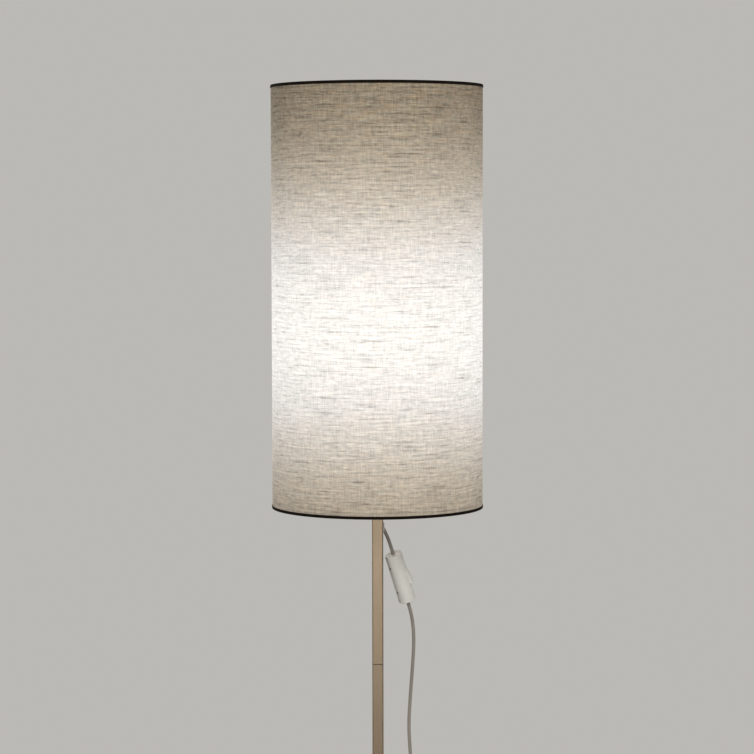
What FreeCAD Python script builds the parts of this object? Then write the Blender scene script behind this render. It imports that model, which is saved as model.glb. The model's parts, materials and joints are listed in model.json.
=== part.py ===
import FreeCAD, Part
import math
import os

from FreeCAD import Matrix, Placement, Rotation, Vector

# Column floor lamp. Millimetres, +Z up, origin on the floor under the middle of the base.
# The front of the lamp faces -Y, and the cord leaves the column on its +X side.

UP = Vector(0, 0, 1)
ORIGIN = Vector(0, 0, 0)

# Fits
slip_gap = 0.1            # between a plug or insert and the wall round it
thread_gap = 0.05         # between a screw and its hole
running_gap = 0.3         # between pieces that move past each other
pin_gap = 0.04            # between a hinge pin and its bore
pin_seat_gap = 0.01       # between a hinge pin and the wall that holds it
glue_gap = 0.05           # between layers that are glued together

# Base
felt_thickness = 2.0
felt_width = 24.0
felt_inset = 6.0
base_diameter = 250.0
base_thickness = 10.0
base_edge_radius = 2.0
base_foot_radius = 0.5
base_recess_diameter = 28.0
base_recess_depth = 6.0
washer_diameter = 24.0
washer_thickness = 1.6
base_bolt_diameter = 8.0
base_bolt_head_diameter = 13.0
base_bolt_head_height = 3.6
base_bolt_grip = 16.0
base_bolt_socket = 5.0
base_bolt_socket_depth = 2.16

# Column
tube_side = 16.0
tube_wall = 1.2
tube_corner_radius = 1.6
tube_end_bevel = 0.35
section_length = 381.0
plug_length = 20.0
joint_stud_diameter = 8.0
joint_stud_length = 34.0
plug_flange_thickness = 2.0

# Lampholder
nipple_diameter = 10.0
nipple_bore = 7.2
nipple_length = 30.0
nipple_rise = 8.0
locknut_flats = 14.0
locknut_height = 3.0
cap_height = 22.0
cap_foot_diameter = 20.0
cap_foot_edge_radius = 0.8
cap_neck_height = 6.0
cap_flare = 1.0
cap_flare_height = 5.0
cap_flare_radius = 2.0
cap_shoulder_height = 13.0
cap_shoulder_radius = 5.0
holder_diameter = 39.0
holder_wall = 2.0
skirt_height = 36.0
skirt_edge_radius = 0.8
shade_flange_diameter = 49.0
shade_flange_height = 3.0
shade_flange_rise = 2.0
shade_flange_edge_radius = 0.6
ring_nut_height = 8.0
ring_nut_edge_radius = 0.5
ring_nut_notches = 24
ring_nut_notch_radius = 1.2
core_diameter = 30.0
core_height = 14.0
core_rise = 4.0           # of the core's top above the cap's edge
core_roof = 3.0           # ceramic left above the terminals' pockets
core_ledge = 1.0          # half the thickness of the ledge round the core, and how far it reaches in
shell_wall = 0.4
shell_height = 24.0
shell_hole_margin = 5.0
shell_corner_radius = 0.35
contact_width = 5.0
contact_thickness = 0.6
contact_rise = 4.0
contact_end_inset = 4.0
contact_bend_reach = 5.5
contact_crest_reach = 2.8
contact_slope_shift = 0.35
contact_bend_radius = 0.8
contact_crest_radius = 0.3
terminal_width = 6.0
terminal_length = 8.0
terminal_offset = 9.5
terminal_lift = 1.0       # of the terminals above the core's foot
terminal_hole_shift = 2.0
terminal_wire_hole_radius = 1.2
terminal_screw_diameter = 3.0
terminal_screw_length = 7.0
terminal_screw_head_diameter = 3.8
terminal_screw_head_height = 2.0
slot_width_share = 0.18   # of a screw head's diameter
slot_depth_share = 0.4    # of a screw head's height

# Bulb
bulb_length = 108.0
globe_diameter = 60.0
globe_wall = 0.8
neck_height = 42.0
neck_diameter = 42.0
collar_foot_diameter = 29.0
collar_rim_width = 3.0
bulb_edge_radius = 0.8
bulb_cap_diameter = 26.2
bulb_cap_top = 27.0
bulb_cap_bottom = 7.0
bulb_cap_wall = 0.4
bulb_cap_taper = 3.0
insulator_edge_radius = 0.3
tip_diameter = 9.6
tip_thickness = 1.4
tip_bevel = 0.6
tip_radius = 1.0

# Shade
shade_diameter = 300.0
shade_height = 600.0
fabric_thickness = 0.8
liner_thickness = 0.5
trim_height = 5.0
trim_thickness = 0.9
trim_edge_radius = 0.5
trim_lip_radius = 0.3
edge_wire_diameter = 3.5
hub_above_shade_foot = 187.0
hub_thickness = 2.0
hub_diameter = 56.0
arm_diameter = 4.0
arm_count = 3
arm_first_angle = 90.0
arm_bend_radius = 9.0
arm_foot_length = 12.0
arm_head_length = 10.0
arm_weld_inset = 1.0

# Cord and its bush
cord_diameter = 5.0
bush_below_top = 184.4     # of the column
bush_flange_height = 14.4
bush_flange_width = 9.4
bush_flange_thickness = 1.8
bush_flange_radius = 0.9
bush_grip = 0.8           # how far the bush reaches past the inside of the wall
bush_slot_height = 12.6
bush_slot_width = 7.2
bush_bore_gap = 0.1
cord_exit_angle = 28.0    # from vertical, where the cord leaves the bush
cord_exit_run = 14.0
cord_run_above_switch = 8.0
cord_run_below_switch = 9.0
lead_sway = 1.0           # sideways play of the lead inside the column
lead_straight_below_top = 12.0

# In-line switch, a round body on the cord. The rocker faces outwards on the +X side.
switch_diameter = 25.0
switch_length = 75.0
switch_wall = 2.0
switch_end_wall = 3.0
switch_edge_radius = 1.0
switch_skin = 0.2         # what the inner posts leave of the case's outside
switch_parting_width = 0.3
switch_parting_depth = 0.25
switch_top_from_bush = Vector(22.3, 5.0, -39.0)
switch_foot_from_bush = Vector(42.7, 25.1, -108.3)
rocker_towards_front = 12.0
switch_cord_entry = 8.0
rocker_length = 24.0
rocker_width = 11.0
rocker_pivot_below_top = 35.6
rocker_pivot_from_axis = 9.0
rocker_crown_height = 5.87
rocker_tilt = 11.4
rocker_cheek = 1.6
rocker_cheek_depth = 3.0
rocker_opening_depth = 4.0
rocker_depth = 3.4
rocker_under_angle = 14.0
rocker_boss_height = 6.0
rocker_pin_diameter = 2.0
rocker_pin_length = 13.6
plunger_diameter = 3.0
plunger_reach = 8.0
plunger_roof = 1.2        # of the rocker above the plunger's bore
plunger_gap = 0.2         # between the level plunger and the level bridge
bridge_length = 17.0
bridge_width = 5.0
bridge_thickness = 1.0
bridge_tilt_share = 0.5   # of the rocker's own tilt, the other way
bridge_pivot_from_axis = -0.6
bridge_pin_radius = 0.9
rivet_radius = 1.6
rivet_height = 0.8
rivet_inset = 2.2
terminal_floor = -9.2
floor_width = 12.0
floor_length = 52.0
link_width = 4.0
link_thickness = 1.2
fulcrum_thickness = 1.0
fulcrum_screw_reach = 11.0
contact_post_shift = 1.4
contact_pad_reach = 1.8
contact_pad_thickness = 1.0
contact_screw_reach = 7.0
terminal_foot_length = 14.0
neutral_link_offset = 3.6
neutral_link_width = 2.6
neutral_link_thickness = 3.0
neutral_link_length = 33.0
small_screw_diameter = 2.0
small_screw_head_diameter = 3.2
small_screw_head_height = 1.4
small_screw_grip = 2.0
case_screw_diameter = 3.0
case_screw_head_diameter = 5.2
case_screw_head_height = 2.0
case_screw_length = 11.5
case_screw_seat = -5.0
case_screw_offset = 19.5
case_screw_side = 7.6
case_screw_post_radius = 2.6
case_screw_tip_gap = 0.7   # left in the pilot hole beyond the screw's tip
clamp_width = 12.4
clamp_height = 3.6
clamp_length = 5.0
clamp_screw_offset = 4.5

# Coil of the put-away length, its tie and the plug on its end
coil_pitch = 5.6
coil_outer_radius = 34.3
coil_turns_in_layer = 3
coil_tail_turn = 28.0     # degrees that the cord bends out of the coil towards its plug
coil_tail_radius = 32.0
coil_start = Vector(75.0, 165.0, 3.5)
landing_run = 20.0
hanging_places = [        # x, y and the share of the switch foot's height
    (50.6, 33.0, 0.9637), (52.6, 39.5, 0.9266), (50.2, 46.5, 0.8790), (47.0, 53.0, 0.8280),
    (44.6, 58.0, 0.7793), (47.6, 63.0, 0.7236), (51.3, 68.0, 0.6622), (51.0, 73.5, 0.5938),
    (54.6, 78.0, 0.5242), (58.8, 82.0, 0.4534), (59.6, 87.5, 0.3827), (63.0, 91.5, 0.3120),
    (67.4, 95.0, 0.2412), (68.6, 100.0, 0.1740), (70.8, 104.0, 0.1136), (72.6, 108.0, 0.0696),
    (73.6, 112.5, 0.0417), (74.3, 123.5, 0.0162)]
cord_facets = 8
tie_thickness = 0.8
tie_width = 6.0
tie_gap = 0.6
tie_gap_below = 0.15
tie_corner_radius = 1.2
relief_length = 26.0
relief_ribs = 5
relief_thin_radius = 3.3
relief_thick_radius = 5.2
relief_groove = 0.7
plug_length_along = 35.0
plug_width = 35.3
plug_thickness = 13.7
plug_flat_width = 26.1
plug_neck_flat = 15.0
plug_neck_thickness = 11.8
plug_shoulder = 14.0
plug_shoulder_share = 0.9
plug_pin_diameter = 4.0
plug_pin_tip_radius = 0.9
plug_pin_length = 19.0
plug_pin_spacing = 19.0

# Heights that follow from the sizes above
base_top = felt_thickness + base_thickness
lower_joint = base_top + section_length
upper_joint = lower_joint + section_length
column_top = upper_joint + section_length
locknut_foot = column_top + plug_flange_thickness
cap_foot = locknut_foot + locknut_height
skirt_foot = cap_foot + cap_height
core_top = skirt_foot + core_rise
core_foot = core_top - core_height
bulb_tip = core_top + contact_rise + running_gap
hub_foot = skirt_foot + shade_flange_rise + shade_flange_height
shade_foot = hub_foot - hub_above_shade_foot
shade_top = shade_foot + shade_height
globe_middle = bulb_tip + bulb_length - globe_diameter / 2
bush_height = column_top - bush_below_top

# Radii that follow
shade_radius = shade_diameter / 2
liner_outer_radius = shade_radius - fabric_thickness - glue_gap
liner_inner_radius = liner_outer_radius - liner_thickness
edge_wire_radius = liner_inner_radius - slip_gap - edge_wire_diameter / 2
holder_bore_radius = holder_diameter / 2 - holder_wall
shell_inner_radius = bulb_cap_diameter / 2 + running_gap

# Places that follow
switch_top = Vector(0, 0, bush_height) + switch_top_from_bush
switch_foot = Vector(0, 0, bush_height) + switch_foot_from_bush


# Shapes used again and again

def corner_arc(before, corner, after, reach):
    """Tangent arc round a corner that starts `reach` before it, and its radius."""
    arriving = (corner - before).normalize()
    leaving = (after - corner).normalize()
    half_turn = arriving.getAngle(leaving) / 2
    radius = reach / math.tan(half_turn)
    inward = (leaving - arriving).normalize()
    middle = corner + inward * (radius / math.cos(half_turn) - radius)
    return Part.Arc(corner - arriving * reach, middle, corner + leaving * reach), radius


def rounded_wire(corners, to_space):
    """Closed wire through corners (a, b, radius), with an arc at each corner that has a radius."""
    points = [to_space(a, b) for a, b, radius in corners]
    edges = []
    ends = []
    for index, (a, b, radius) in enumerate(corners):
        corner = points[index]
        if radius == 0:
            ends.append((corner, corner))
            continue
        before = points[index - 1]
        after = points[(index + 1) % len(points)]
        turn = (corner - before).getAngle(after - corner)
        arc = corner_arc(before, corner, after, radius * math.tan(turn / 2))[0]
        edges.append(arc.toShape())
        ends.append((arc.StartPoint, arc.EndPoint))
    for index in range(len(points)):
        leaving = ends[index - 1][1]
        arriving = ends[index][0]
        if leaving.distanceToPoint(arriving) > 1e-6:
            edges.append(Part.LineSegment(leaving, arriving).toShape())
    return Part.Wire(Part.sortEdges(edges)[0])


def turned(corners):
    """Solid turned about Z from a profile of corners (radius from Z, height, corner radius)."""
    face = Part.Face(rounded_wire(corners, lambda r, z: Vector(r, 0, z)))
    return face.revolve(ORIGIN, UP, 360)


def ring(outer, inner, foot, top, corner=0.0):
    """Plain ring about Z."""
    return turned([(inner, foot, corner), (outer, foot, corner), (outer, top, corner), (inner, top, corner)])


def disc(radius, foot, top):
    return Part.makeCylinder(radius, top - foot, Vector(0, 0, foot))


def rounded_box(x, y, z, corner=0.0):
    """Box between (low, high) pairs, with its four upright edges rounded."""
    low = Vector(x[0], y[0], z[0])
    box = Part.makeBox(x[1] - x[0], y[1] - y[0], z[1] - z[0], low)
    if corner == 0:
        return box
    upright = [edge for edge in box.Edges if abs(edge.tangentAt(edge.FirstParameter).z) > 0.9]
    return box.makeFillet(corner, upright)


def square_bar(side, corner, foot, top):
    half = side / 2
    return rounded_box((-half, half), (-half, half), (foot, top), corner)


def hexagon(flats, foot, top):
    radius = flats / math.sqrt(3)
    angles = [math.radians(60 * k) for k in range(7)]
    points = [Vector(radius * math.cos(angle), radius * math.sin(angle), foot) for angle in angles]
    return Part.Face(Part.makePolygon(points)).extrude(Vector(0, 0, top - foot))


def across(axis, radius, middle, length):
    """Cylinder of a length centred on a point, along an axis."""
    direction = Vector(axis).normalize()
    return Part.makeCylinder(radius, length, middle - direction * (length / 2), direction)


def fused(*solids):
    joined = solids[0].fuse(list(solids[1:]))
    return joined.removeSplitter()


def slotted_screw(seat, heading, head_diameter, head_height, shank_diameter, shank_length):
    """Screw whose head's underside lies at a point and whose shank runs along a heading."""
    head = disc(head_diameter / 2, -head_height, 0)
    shank = disc(shank_diameter / 2, 0, shank_length)
    half = head_diameter * slot_width_share / 2
    slot_z = (-head_height, head_height * (slot_depth_share - 1))
    slot = rounded_box((-head_diameter, head_diameter), (-half, half), slot_z)
    screw = fused(head, shank).cut(slot)
    turn = Rotation(UP, heading)
    screw.rotate(ORIGIN, turn.Axis, math.degrees(turn.Angle))
    screw.translate(seat)
    return screw


def spun(solid, count, first_angle=0.0):
    """Copies of a solid turned evenly about Z."""
    copies = []
    for index in range(count):
        copy = solid.copy()
        copy.rotate(ORIGIN, UP, first_angle + index * 360.0 / count)
        copies.append(copy)
    return copies


def route_wire(points, name):
    """Straight runs joined by tangent arcs, each as large as its two runs allow."""
    route = [Vector(point) for point in points]
    edges = []
    radii = []
    here = route[0]
    for before, corner, after in zip(route, route[1:], route[2:]):
        reach = 0.45 * min((corner - before).Length, (after - corner).Length)
        arc, radius = corner_arc(before, corner, after, reach)
        edges.append(Part.LineSegment(here, arc.StartPoint).toShape())
        edges.append(arc.toShape())
        here = arc.EndPoint
        radii.append(radius)
    edges.append(Part.LineSegment(here, route[-1]).toShape())
    print(name, "bend radii", [round(radius) for radius in radii])
    return Part.Wire(edges)


def round_tube(wire, diameter, name):
    """Round bar along a wire; its volume is compared with its section times its length."""
    start = wire.Edges[0]
    heading = start.tangentAt(start.FirstParameter)
    circle = Part.Circle(start.valueAt(start.FirstParameter), heading, diameter / 2)
    tube = wire.makePipeShell([Part.Wire([circle.toShape()])], True, False)
    wanted = math.pi * diameter ** 2 / 4 * wire.Length
    print(name, "length", round(wire.Length, 1), "volume share", round(tube.Volume / wanted, 4))
    return tube


# Base

def base_plate():
    radius = base_diameter / 2
    shank = base_bolt_diameter / 2 + slip_gap
    recess = base_recess_diameter / 2
    recess_top = felt_thickness + base_recess_depth
    return turned([
        (shank, recess_top, 0), (recess, recess_top, 0), (recess, felt_thickness, 0),
        (radius, felt_thickness, base_foot_radius), (radius, base_top, base_edge_radius),
        (shank, base_top, 0)])


def base_felt_ring():
    outer = base_diameter / 2 - felt_inset
    return ring(outer, outer - felt_width, 0, felt_thickness)


def base_washer():
    top = felt_thickness + base_recess_depth
    return ring(washer_diameter / 2, base_bolt_diameter / 2 + slip_gap, top - washer_thickness, top)


def base_bolt():
    head_top = felt_thickness + base_recess_depth - washer_thickness
    head_foot = head_top - base_bolt_head_height
    head = ring(base_bolt_head_diameter / 2, 0, head_foot, head_top)
    shank = disc(base_bolt_diameter / 2, head_top, base_top + base_bolt_grip)
    socket = hexagon(base_bolt_socket, head_foot, head_foot + base_bolt_socket_depth)
    return fused(head, shank).cut(socket)


# Column

def stem_tube(foot, bevel_foot, bevel_top):
    top = foot + section_length
    bar = square_bar(tube_side, tube_corner_radius, foot, top)
    ends = []
    for edge in bar.Edges:
        box = edge.BoundBox
        flat = box.ZLength < 1e-6
        if flat and bevel_foot and abs(box.ZMin - foot) < 1e-6:
            ends.append(edge)
        if flat and bevel_top and abs(box.ZMax - top) < 1e-6:
            ends.append(edge)
    if ends:
        bar = bar.makeChamfer(tube_end_bevel, ends)
    bore = square_bar(tube_side - 2 * tube_wall, tube_corner_radius - tube_wall, foot, top)
    return bar.cut(bore)


def obround(width, height, x_low, x_high, middle_height):
    """Bar along X with a tall rounded section."""
    shift = (height - width) / 2
    low = Vector(x_low, -width / 2, middle_height - shift)
    slab = Part.makeBox(x_high - x_low, width, 2 * shift, low)
    ends = [Part.makeCylinder(width / 2, x_high - x_low, Vector(x_low, 0, middle_height + side * shift),
                              Vector(1, 0, 0)) for side in (-1, 1)]
    return fused(slab, *ends)


def stem_upper_tube():
    slot = obround(bush_slot_width, bush_slot_height, 0, tube_side, bush_height)
    return stem_tube(upper_joint, True, False).cut(slot)


def stem_insert(foot, bore):
    """Square plug inside a tube's end, with a threaded hole through it."""
    side = tube_side - 2 * tube_wall - 2 * slip_gap
    corner = tube_corner_radius - tube_wall
    return square_bar(side, corner, foot, foot + plug_length).cut(disc(bore, foot, foot + plug_length))


def joint_insert(foot):
    return stem_insert(foot, joint_stud_diameter / 2 + thread_gap)


def joint_stud(height):
    half = joint_stud_length / 2
    return disc(joint_stud_diameter / 2, height - half, height + half)


def stem_top_plug():
    flange = square_bar(tube_side, tube_corner_radius, column_top, locknut_foot)
    bore = nipple_diameter / 2 + thread_gap
    flange = flange.cut(disc(bore, column_top, locknut_foot))
    return fused(stem_insert(column_top - plug_length, bore), flange)


# Lampholder

def holder_nipple():
    top = cap_foot + nipple_rise
    return ring(nipple_diameter / 2, nipple_bore / 2, top - nipple_length, top)


def holder_locknut():
    bore = disc(nipple_diameter / 2 + thread_gap, locknut_foot, cap_foot)
    return hexagon(locknut_flats, locknut_foot, cap_foot).cut(bore)


def holder_cap():
    outer = holder_diameter / 2
    foot = cap_foot_diameter / 2
    bore = nipple_diameter / 2 + thread_gap
    neck_top = cap_foot + cap_neck_height
    inner = outer - holder_wall
    shoulder = cap_foot + cap_shoulder_height
    return turned([
        (bore, cap_foot, 0), (foot, cap_foot, cap_foot_edge_radius),
        (foot + cap_flare, cap_foot + cap_flare_height, cap_flare_radius),
        (outer, shoulder, cap_shoulder_radius), (outer, skirt_foot, 0), (inner, skirt_foot, 0),
        (inner, shoulder + cap_flare, cap_shoulder_radius - cap_flare),
        (foot - cap_flare, neck_top, 0), (bore, neck_top, 0)])


def holder_skirt():
    outer = holder_diameter / 2
    flange = shade_flange_diameter / 2
    flange_foot = skirt_foot + shade_flange_rise
    top = skirt_foot + skirt_height
    flange_edge = shade_flange_edge_radius
    return turned([
        (holder_bore_radius, skirt_foot, 0), (outer, skirt_foot, 0), (outer, flange_foot, 0),
        (flange, flange_foot, flange_edge), (flange, hub_foot, flange_edge), (outer, hub_foot, 0),
        (outer, top, skirt_edge_radius), (holder_bore_radius, top, skirt_edge_radius)])


def shade_ring_nut():
    foot = hub_foot + hub_thickness
    outer = shade_flange_diameter / 2
    bore = holder_diameter / 2 + thread_gap
    nut = ring(outer, bore, foot, foot + ring_nut_height, ring_nut_edge_radius)
    notch = disc(ring_nut_notch_radius, foot, foot + ring_nut_height)
    notch.translate(Vector(outer + ring_nut_edge_radius, 0, 0))
    return nut.cut(spun(notch, ring_nut_notches))


def terminal_places():
    return [Vector(0, side * terminal_offset, 0) for side in (-1, 1)]


def holder_core():
    core = disc(core_diameter / 2, core_foot, core_top)
    ledge_outer = holder_bore_radius - slip_gap
    ledge_inner = core_diameter / 2 - core_ledge
    core = fused(core, ring(ledge_outer, ledge_inner, skirt_foot - core_ledge, skirt_foot + core_ledge))
    pocket_top = core_top - core_roof
    reach = terminal_width / 2 + slip_gap
    for place in terminal_places():
        x = (-terminal_length / 2 - slip_gap, terminal_length / 2 + slip_gap)
        core = core.cut(rounded_box(x, (place.y - reach, place.y + reach), (core_foot, pocket_top)))
    seat = contact_width / 2 + slip_gap
    length = shell_inner_radius - contact_end_inset
    return core.cut(rounded_box((-length, length), (-seat, seat), (core_top - contact_thickness, core_top)))


def holder_screw_shell():
    outer = shell_inner_radius + shell_wall
    top = core_top + shell_height
    hole = contact_width / 2 + shell_hole_margin
    floor = core_top + shell_wall
    return turned([
        (hole, core_top, 0), (outer, core_top, shell_corner_radius), (outer, top, 0),
        (shell_inner_radius, top, 0), (shell_inner_radius, floor, 0), (hole, floor, 0)])


def holder_centre_contact():
    """Spring strip bent up to a raised flat in the middle."""
    half = contact_width / 2
    length = shell_inner_radius - contact_end_inset - slip_gap
    foot = core_top - contact_thickness
    crest = core_top + contact_rise
    under_side = [
        (contact_crest_reach, crest - contact_thickness, contact_bend_radius),
        (contact_bend_reach, foot, contact_bend_radius), (length, foot, 0)]
    upper_side = [
        (length, core_top, 0), (contact_bend_reach + contact_slope_shift, core_top, contact_crest_radius),
        (contact_crest_reach + contact_slope_shift, crest, contact_crest_radius)]
    corners = under_side + upper_side
    corners += [(-x, z, radius) for x, z, radius in reversed(corners)]
    face = Part.Face(rounded_wire(corners, lambda x, z: Vector(x, -half, z)))
    return face.extrude(Vector(0, contact_width, 0))


def holder_terminals():
    top = core_top - core_roof - slip_gap
    blocks = []
    for place in terminal_places():
        low = place.y - terminal_width / 2
        x = (-terminal_length / 2, terminal_length / 2)
        block = rounded_box(x, (low, low + terminal_width), (core_foot + terminal_lift, top))
        hole = disc(terminal_screw_diameter / 2 + thread_gap, core_foot, top)
        hole.translate(place + Vector(terminal_hole_shift, 0, 0))
        wire_hole = disc(terminal_wire_hole_radius, core_foot, top)
        wire_hole.translate(place - Vector(terminal_hole_shift, 0, 0))
        blocks.append(block.cut([hole, wire_hole]))
    return Part.Compound(blocks)


def holder_terminal_screws():
    seat = Vector(terminal_hole_shift, 0, core_foot + terminal_lift)
    screws = [slotted_screw(place + seat, UP, terminal_screw_head_diameter, terminal_screw_head_height,
                            terminal_screw_diameter, terminal_screw_length) for place in terminal_places()]
    return Part.Compound(screws)


# Bulb

def globe_profile(radius, throat, foot):
    """Half outline of a globe of a radius on a straight neck line that is tangent to it."""
    middle = Vector(0, 0, globe_middle)
    neck = Vector(throat, 0, foot)
    apart = neck - middle
    tangent_length = math.sqrt(apart.Length ** 2 - radius ** 2)
    turn = math.atan2(tangent_length, radius)
    heading = math.atan2(apart.z, apart.x) + turn
    touch = middle + Vector(math.cos(heading), 0, math.sin(heading)) * radius
    side_angle = (heading + math.pi / 2) / 2
    side = middle + Vector(math.cos(side_angle), 0, math.sin(side_angle)) * radius
    top = middle + Vector(0, 0, radius)
    return neck, touch, side, top


def bulb_globe():
    foot = bulb_tip + neck_height
    outer_radius = globe_diameter / 2
    neck, touch, side, top = globe_profile(outer_radius, neck_diameter / 2, foot)
    inner = globe_profile(outer_radius - globe_wall, neck_diameter / 2 - globe_wall, foot)
    edges = [
        Part.LineSegment(neck, touch), Part.Arc(touch, side, top), Part.LineSegment(top, inner[3]),
        Part.Arc(inner[3], inner[2], inner[1]), Part.LineSegment(inner[1], inner[0]),
        Part.LineSegment(inner[0], neck)]
    face = Part.Face(Part.Wire([edge.toShape() for edge in edges]))
    return face.revolve(ORIGIN, UP, 360)


def bulb_collar():
    foot = bulb_tip + bulb_cap_top
    top = bulb_tip + neck_height
    outer = neck_diameter / 2
    return turned([
        (0, foot, 0), (collar_foot_diameter / 2, foot, bulb_edge_radius), (outer, top, bulb_edge_radius),
        (outer - collar_rim_width, top, 0), (0, top, 0)])


def bulb_screw_cap():
    outer = bulb_cap_diameter / 2
    inner = outer - bulb_cap_wall
    foot = bulb_tip + bulb_cap_bottom
    top = bulb_tip + bulb_cap_top
    mouth = outer - bulb_cap_taper
    shoulder = foot + bulb_cap_taper
    return turned([
        (mouth, foot, 0), (outer, shoulder, bulb_edge_radius), (outer, top, 0), (inner, top, 0),
        (inner, shoulder + bulb_cap_wall, 0), (mouth, foot + bulb_cap_wall, 0)])


def bulb_insulator():
    foot = bulb_tip + tip_thickness
    top = bulb_tip + bulb_cap_bottom - slip_gap
    narrow = tip_diameter / 2 + tip_bevel
    wide = bulb_cap_diameter / 2 - bulb_cap_taper
    edge = insulator_edge_radius
    return turned([(0, foot, 0), (narrow, foot, edge), (wide, top, edge), (0, top, 0)])


def bulb_tip_contact():
    return turned([
        (0, bulb_tip, 0), (tip_diameter / 2 - tip_bevel, bulb_tip, tip_radius),
        (tip_diameter / 2, bulb_tip + tip_thickness, 0), (0, bulb_tip + tip_thickness, 0)])


# Shade

def shade_fabric():
    foot = shade_foot + trim_thickness
    return ring(shade_radius, shade_radius - fabric_thickness, foot, foot + shade_height - 2 * trim_thickness)


def shade_liner():
    foot = shade_foot + trim_thickness
    return ring(liner_outer_radius, liner_inner_radius, foot, foot + shade_height - 2 * trim_thickness)


def wire_height(edge, inward):
    return edge + inward * (trim_thickness + edge_wire_diameter / 2)


def shade_edge_wire(edge, inward):
    return Part.makeTorus(edge_wire_radius, edge_wire_diameter / 2, Vector(0, 0, wire_height(edge, inward)))


def shade_edge_trim(edge, inward):
    """Band folded over the shade's edge: outside wall, web over the edge and wall inside the wire."""
    outer = shade_radius + glue_gap + trim_thickness
    inner = edge_wire_radius - edge_wire_diameter / 2 - slip_gap
    web = edge + inward * trim_thickness
    inside_top = web + inward * edge_wire_diameter
    outside_top = edge + inward * trim_height
    corners = [
        (inner - trim_thickness, edge, trim_edge_radius), (outer, edge, trim_edge_radius),
        (outer, outside_top, trim_lip_radius),
        (shade_radius + glue_gap, outside_top, 0), (shade_radius + glue_gap, web, 0),
        (inner, web, 0), (inner, inside_top, 0), (inner - trim_thickness, inside_top, 0)]
    return turned(corners)


def shade_spider():
    """Hub ring and straight arms that slope down to the bottom wire, welded into one piece."""
    hub_top = hub_foot + hub_thickness
    hub = ring(hub_diameter / 2, holder_diameter / 2 + slip_gap, hub_foot, hub_top)
    weld = shade_flange_diameter / 2 + arm_weld_inset
    start = Vector(weld, 0, hub_foot + hub_thickness / 2)
    bend = start + Vector(arm_head_length, 0, 0)
    foot_height = wire_height(shade_foot, 1) + edge_wire_diameter / 2 + arm_diameter / 2 + slip_gap
    foot_end = Vector(edge_wire_radius, 0, foot_height)
    foot_bend = foot_end - Vector(arm_foot_length, 0, 0)
    turn = math.atan2(start.z - foot_height, foot_bend.x - bend.x)
    reach = arm_bend_radius * math.tan(turn / 2)
    upper = corner_arc(start, bend, foot_bend, reach)[0]
    lower = corner_arc(bend, foot_bend, foot_end, reach)[0]
    edges = [
        Part.LineSegment(start, upper.StartPoint), upper,
        Part.LineSegment(upper.EndPoint, lower.StartPoint), lower,
        Part.LineSegment(lower.EndPoint, foot_end)]
    arm = round_tube(Part.Wire([edge.toShape() for edge in edges]), arm_diameter, "spider arm")
    return fused(hub, *spun(arm, arm_count, arm_first_angle))


# Cord bush and the cord's routes

def exit_direction():
    angle = math.radians(cord_exit_angle)
    return Vector(math.sin(angle), 0, -math.cos(angle))


def cord_joint():
    """Middle of the column's wall at the bush, where the lead inside meets the cord outside."""
    return Vector(tube_side / 2 - tube_wall / 2, 0, bush_height)


def cord_bush():
    wall = tube_side / 2
    flange = obround(bush_flange_width, bush_flange_height, wall, wall + bush_flange_thickness, bush_height)
    front = [edge for edge in flange.Edges if edge.BoundBox.XMin > wall + bush_flange_thickness - 1e-6]
    flange = flange.makeFillet(bush_flange_radius, front)
    body_low = wall - tube_wall - bush_grip
    body_width = bush_slot_width - 2 * slip_gap
    body = obround(body_width, bush_slot_height - 2 * slip_gap, body_low, wall, bush_height)
    bore = across(exit_direction(), cord_diameter / 2 + bush_bore_gap, cord_joint(), 4 * bush_flange_height)
    return fused(flange, body).cut(bore)


def switch_axis():
    """Unit vector up the switch, from where its lower cord leaves to where its upper cord enters."""
    return (switch_top - switch_foot).normalize()


def inner_lead_route():
    """Up the column's middle, swaying a little from side to side, and straight through the nipple."""
    joint = cord_joint()
    bend = joint - exit_direction() * (joint.x / math.sin(math.radians(cord_exit_angle)))
    straight = Vector(0, 0, column_top - lead_straight_below_top)
    leaning = [Vector(0.9, 0.5, 0), Vector(-0.7, -0.6, 0), Vector(0.6, 0.4, 0)]
    sway = [bend + (straight - bend) * ((index + 0.5) / len(leaning)) + lean * lead_sway
            for index, lean in enumerate(leaning)]
    return [joint, bend, *sway, straight, Vector(0, 0, core_foot - slip_gap)]


def cord_upper_route():
    joint = cord_joint()
    return [
        joint, joint + exit_direction() * cord_exit_run, switch_top + switch_axis() * cord_run_above_switch,
        switch_top - switch_axis() * switch_cord_entry]


def cord_lower_route():
    """Down from the switch in slack waves, and in one wide bend onto the floor."""
    foot = switch_foot
    return [
        foot + switch_axis() * switch_cord_entry, foot - switch_axis() * cord_run_below_switch,
        *[(x, y, share * foot.z) for x, y, share in hanging_places],
        coil_start - Vector(0, landing_run, 0), coil_start]


# In-line switch. Its own frame: Z up its axis, X out through the rocker, origin in its middle.

def switch_placement():
    axis = switch_axis()
    rightward = Vector(0, 1, 0).cross(axis).normalize()
    outward = Rotation(axis, -rocker_towards_front).multVec(rightward)
    side = axis.cross(outward)
    middle = (switch_top + switch_foot) * 0.5
    matrix = Matrix(
        outward.x, side.x, axis.x, middle.x,
        outward.y, side.y, axis.y, middle.y,
        outward.z, side.z, axis.z, middle.z,
        0, 0, 0, 1)
    return Placement(matrix)


def placed(solid):
    """A switch piece, moved from the switch's own frame to its place on the cord."""
    moved = solid.copy()
    moved.transformShape(switch_placement().toMatrix(), False)
    return moved


def pivot_height():
    return switch_length / 2 - rocker_pivot_below_top


def pivot_point():
    return Vector(rocker_pivot_from_axis, 0, pivot_height())


def rocker_sweep_radius():
    return math.hypot(rocker_crown_height, rocker_length / 2)


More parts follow.
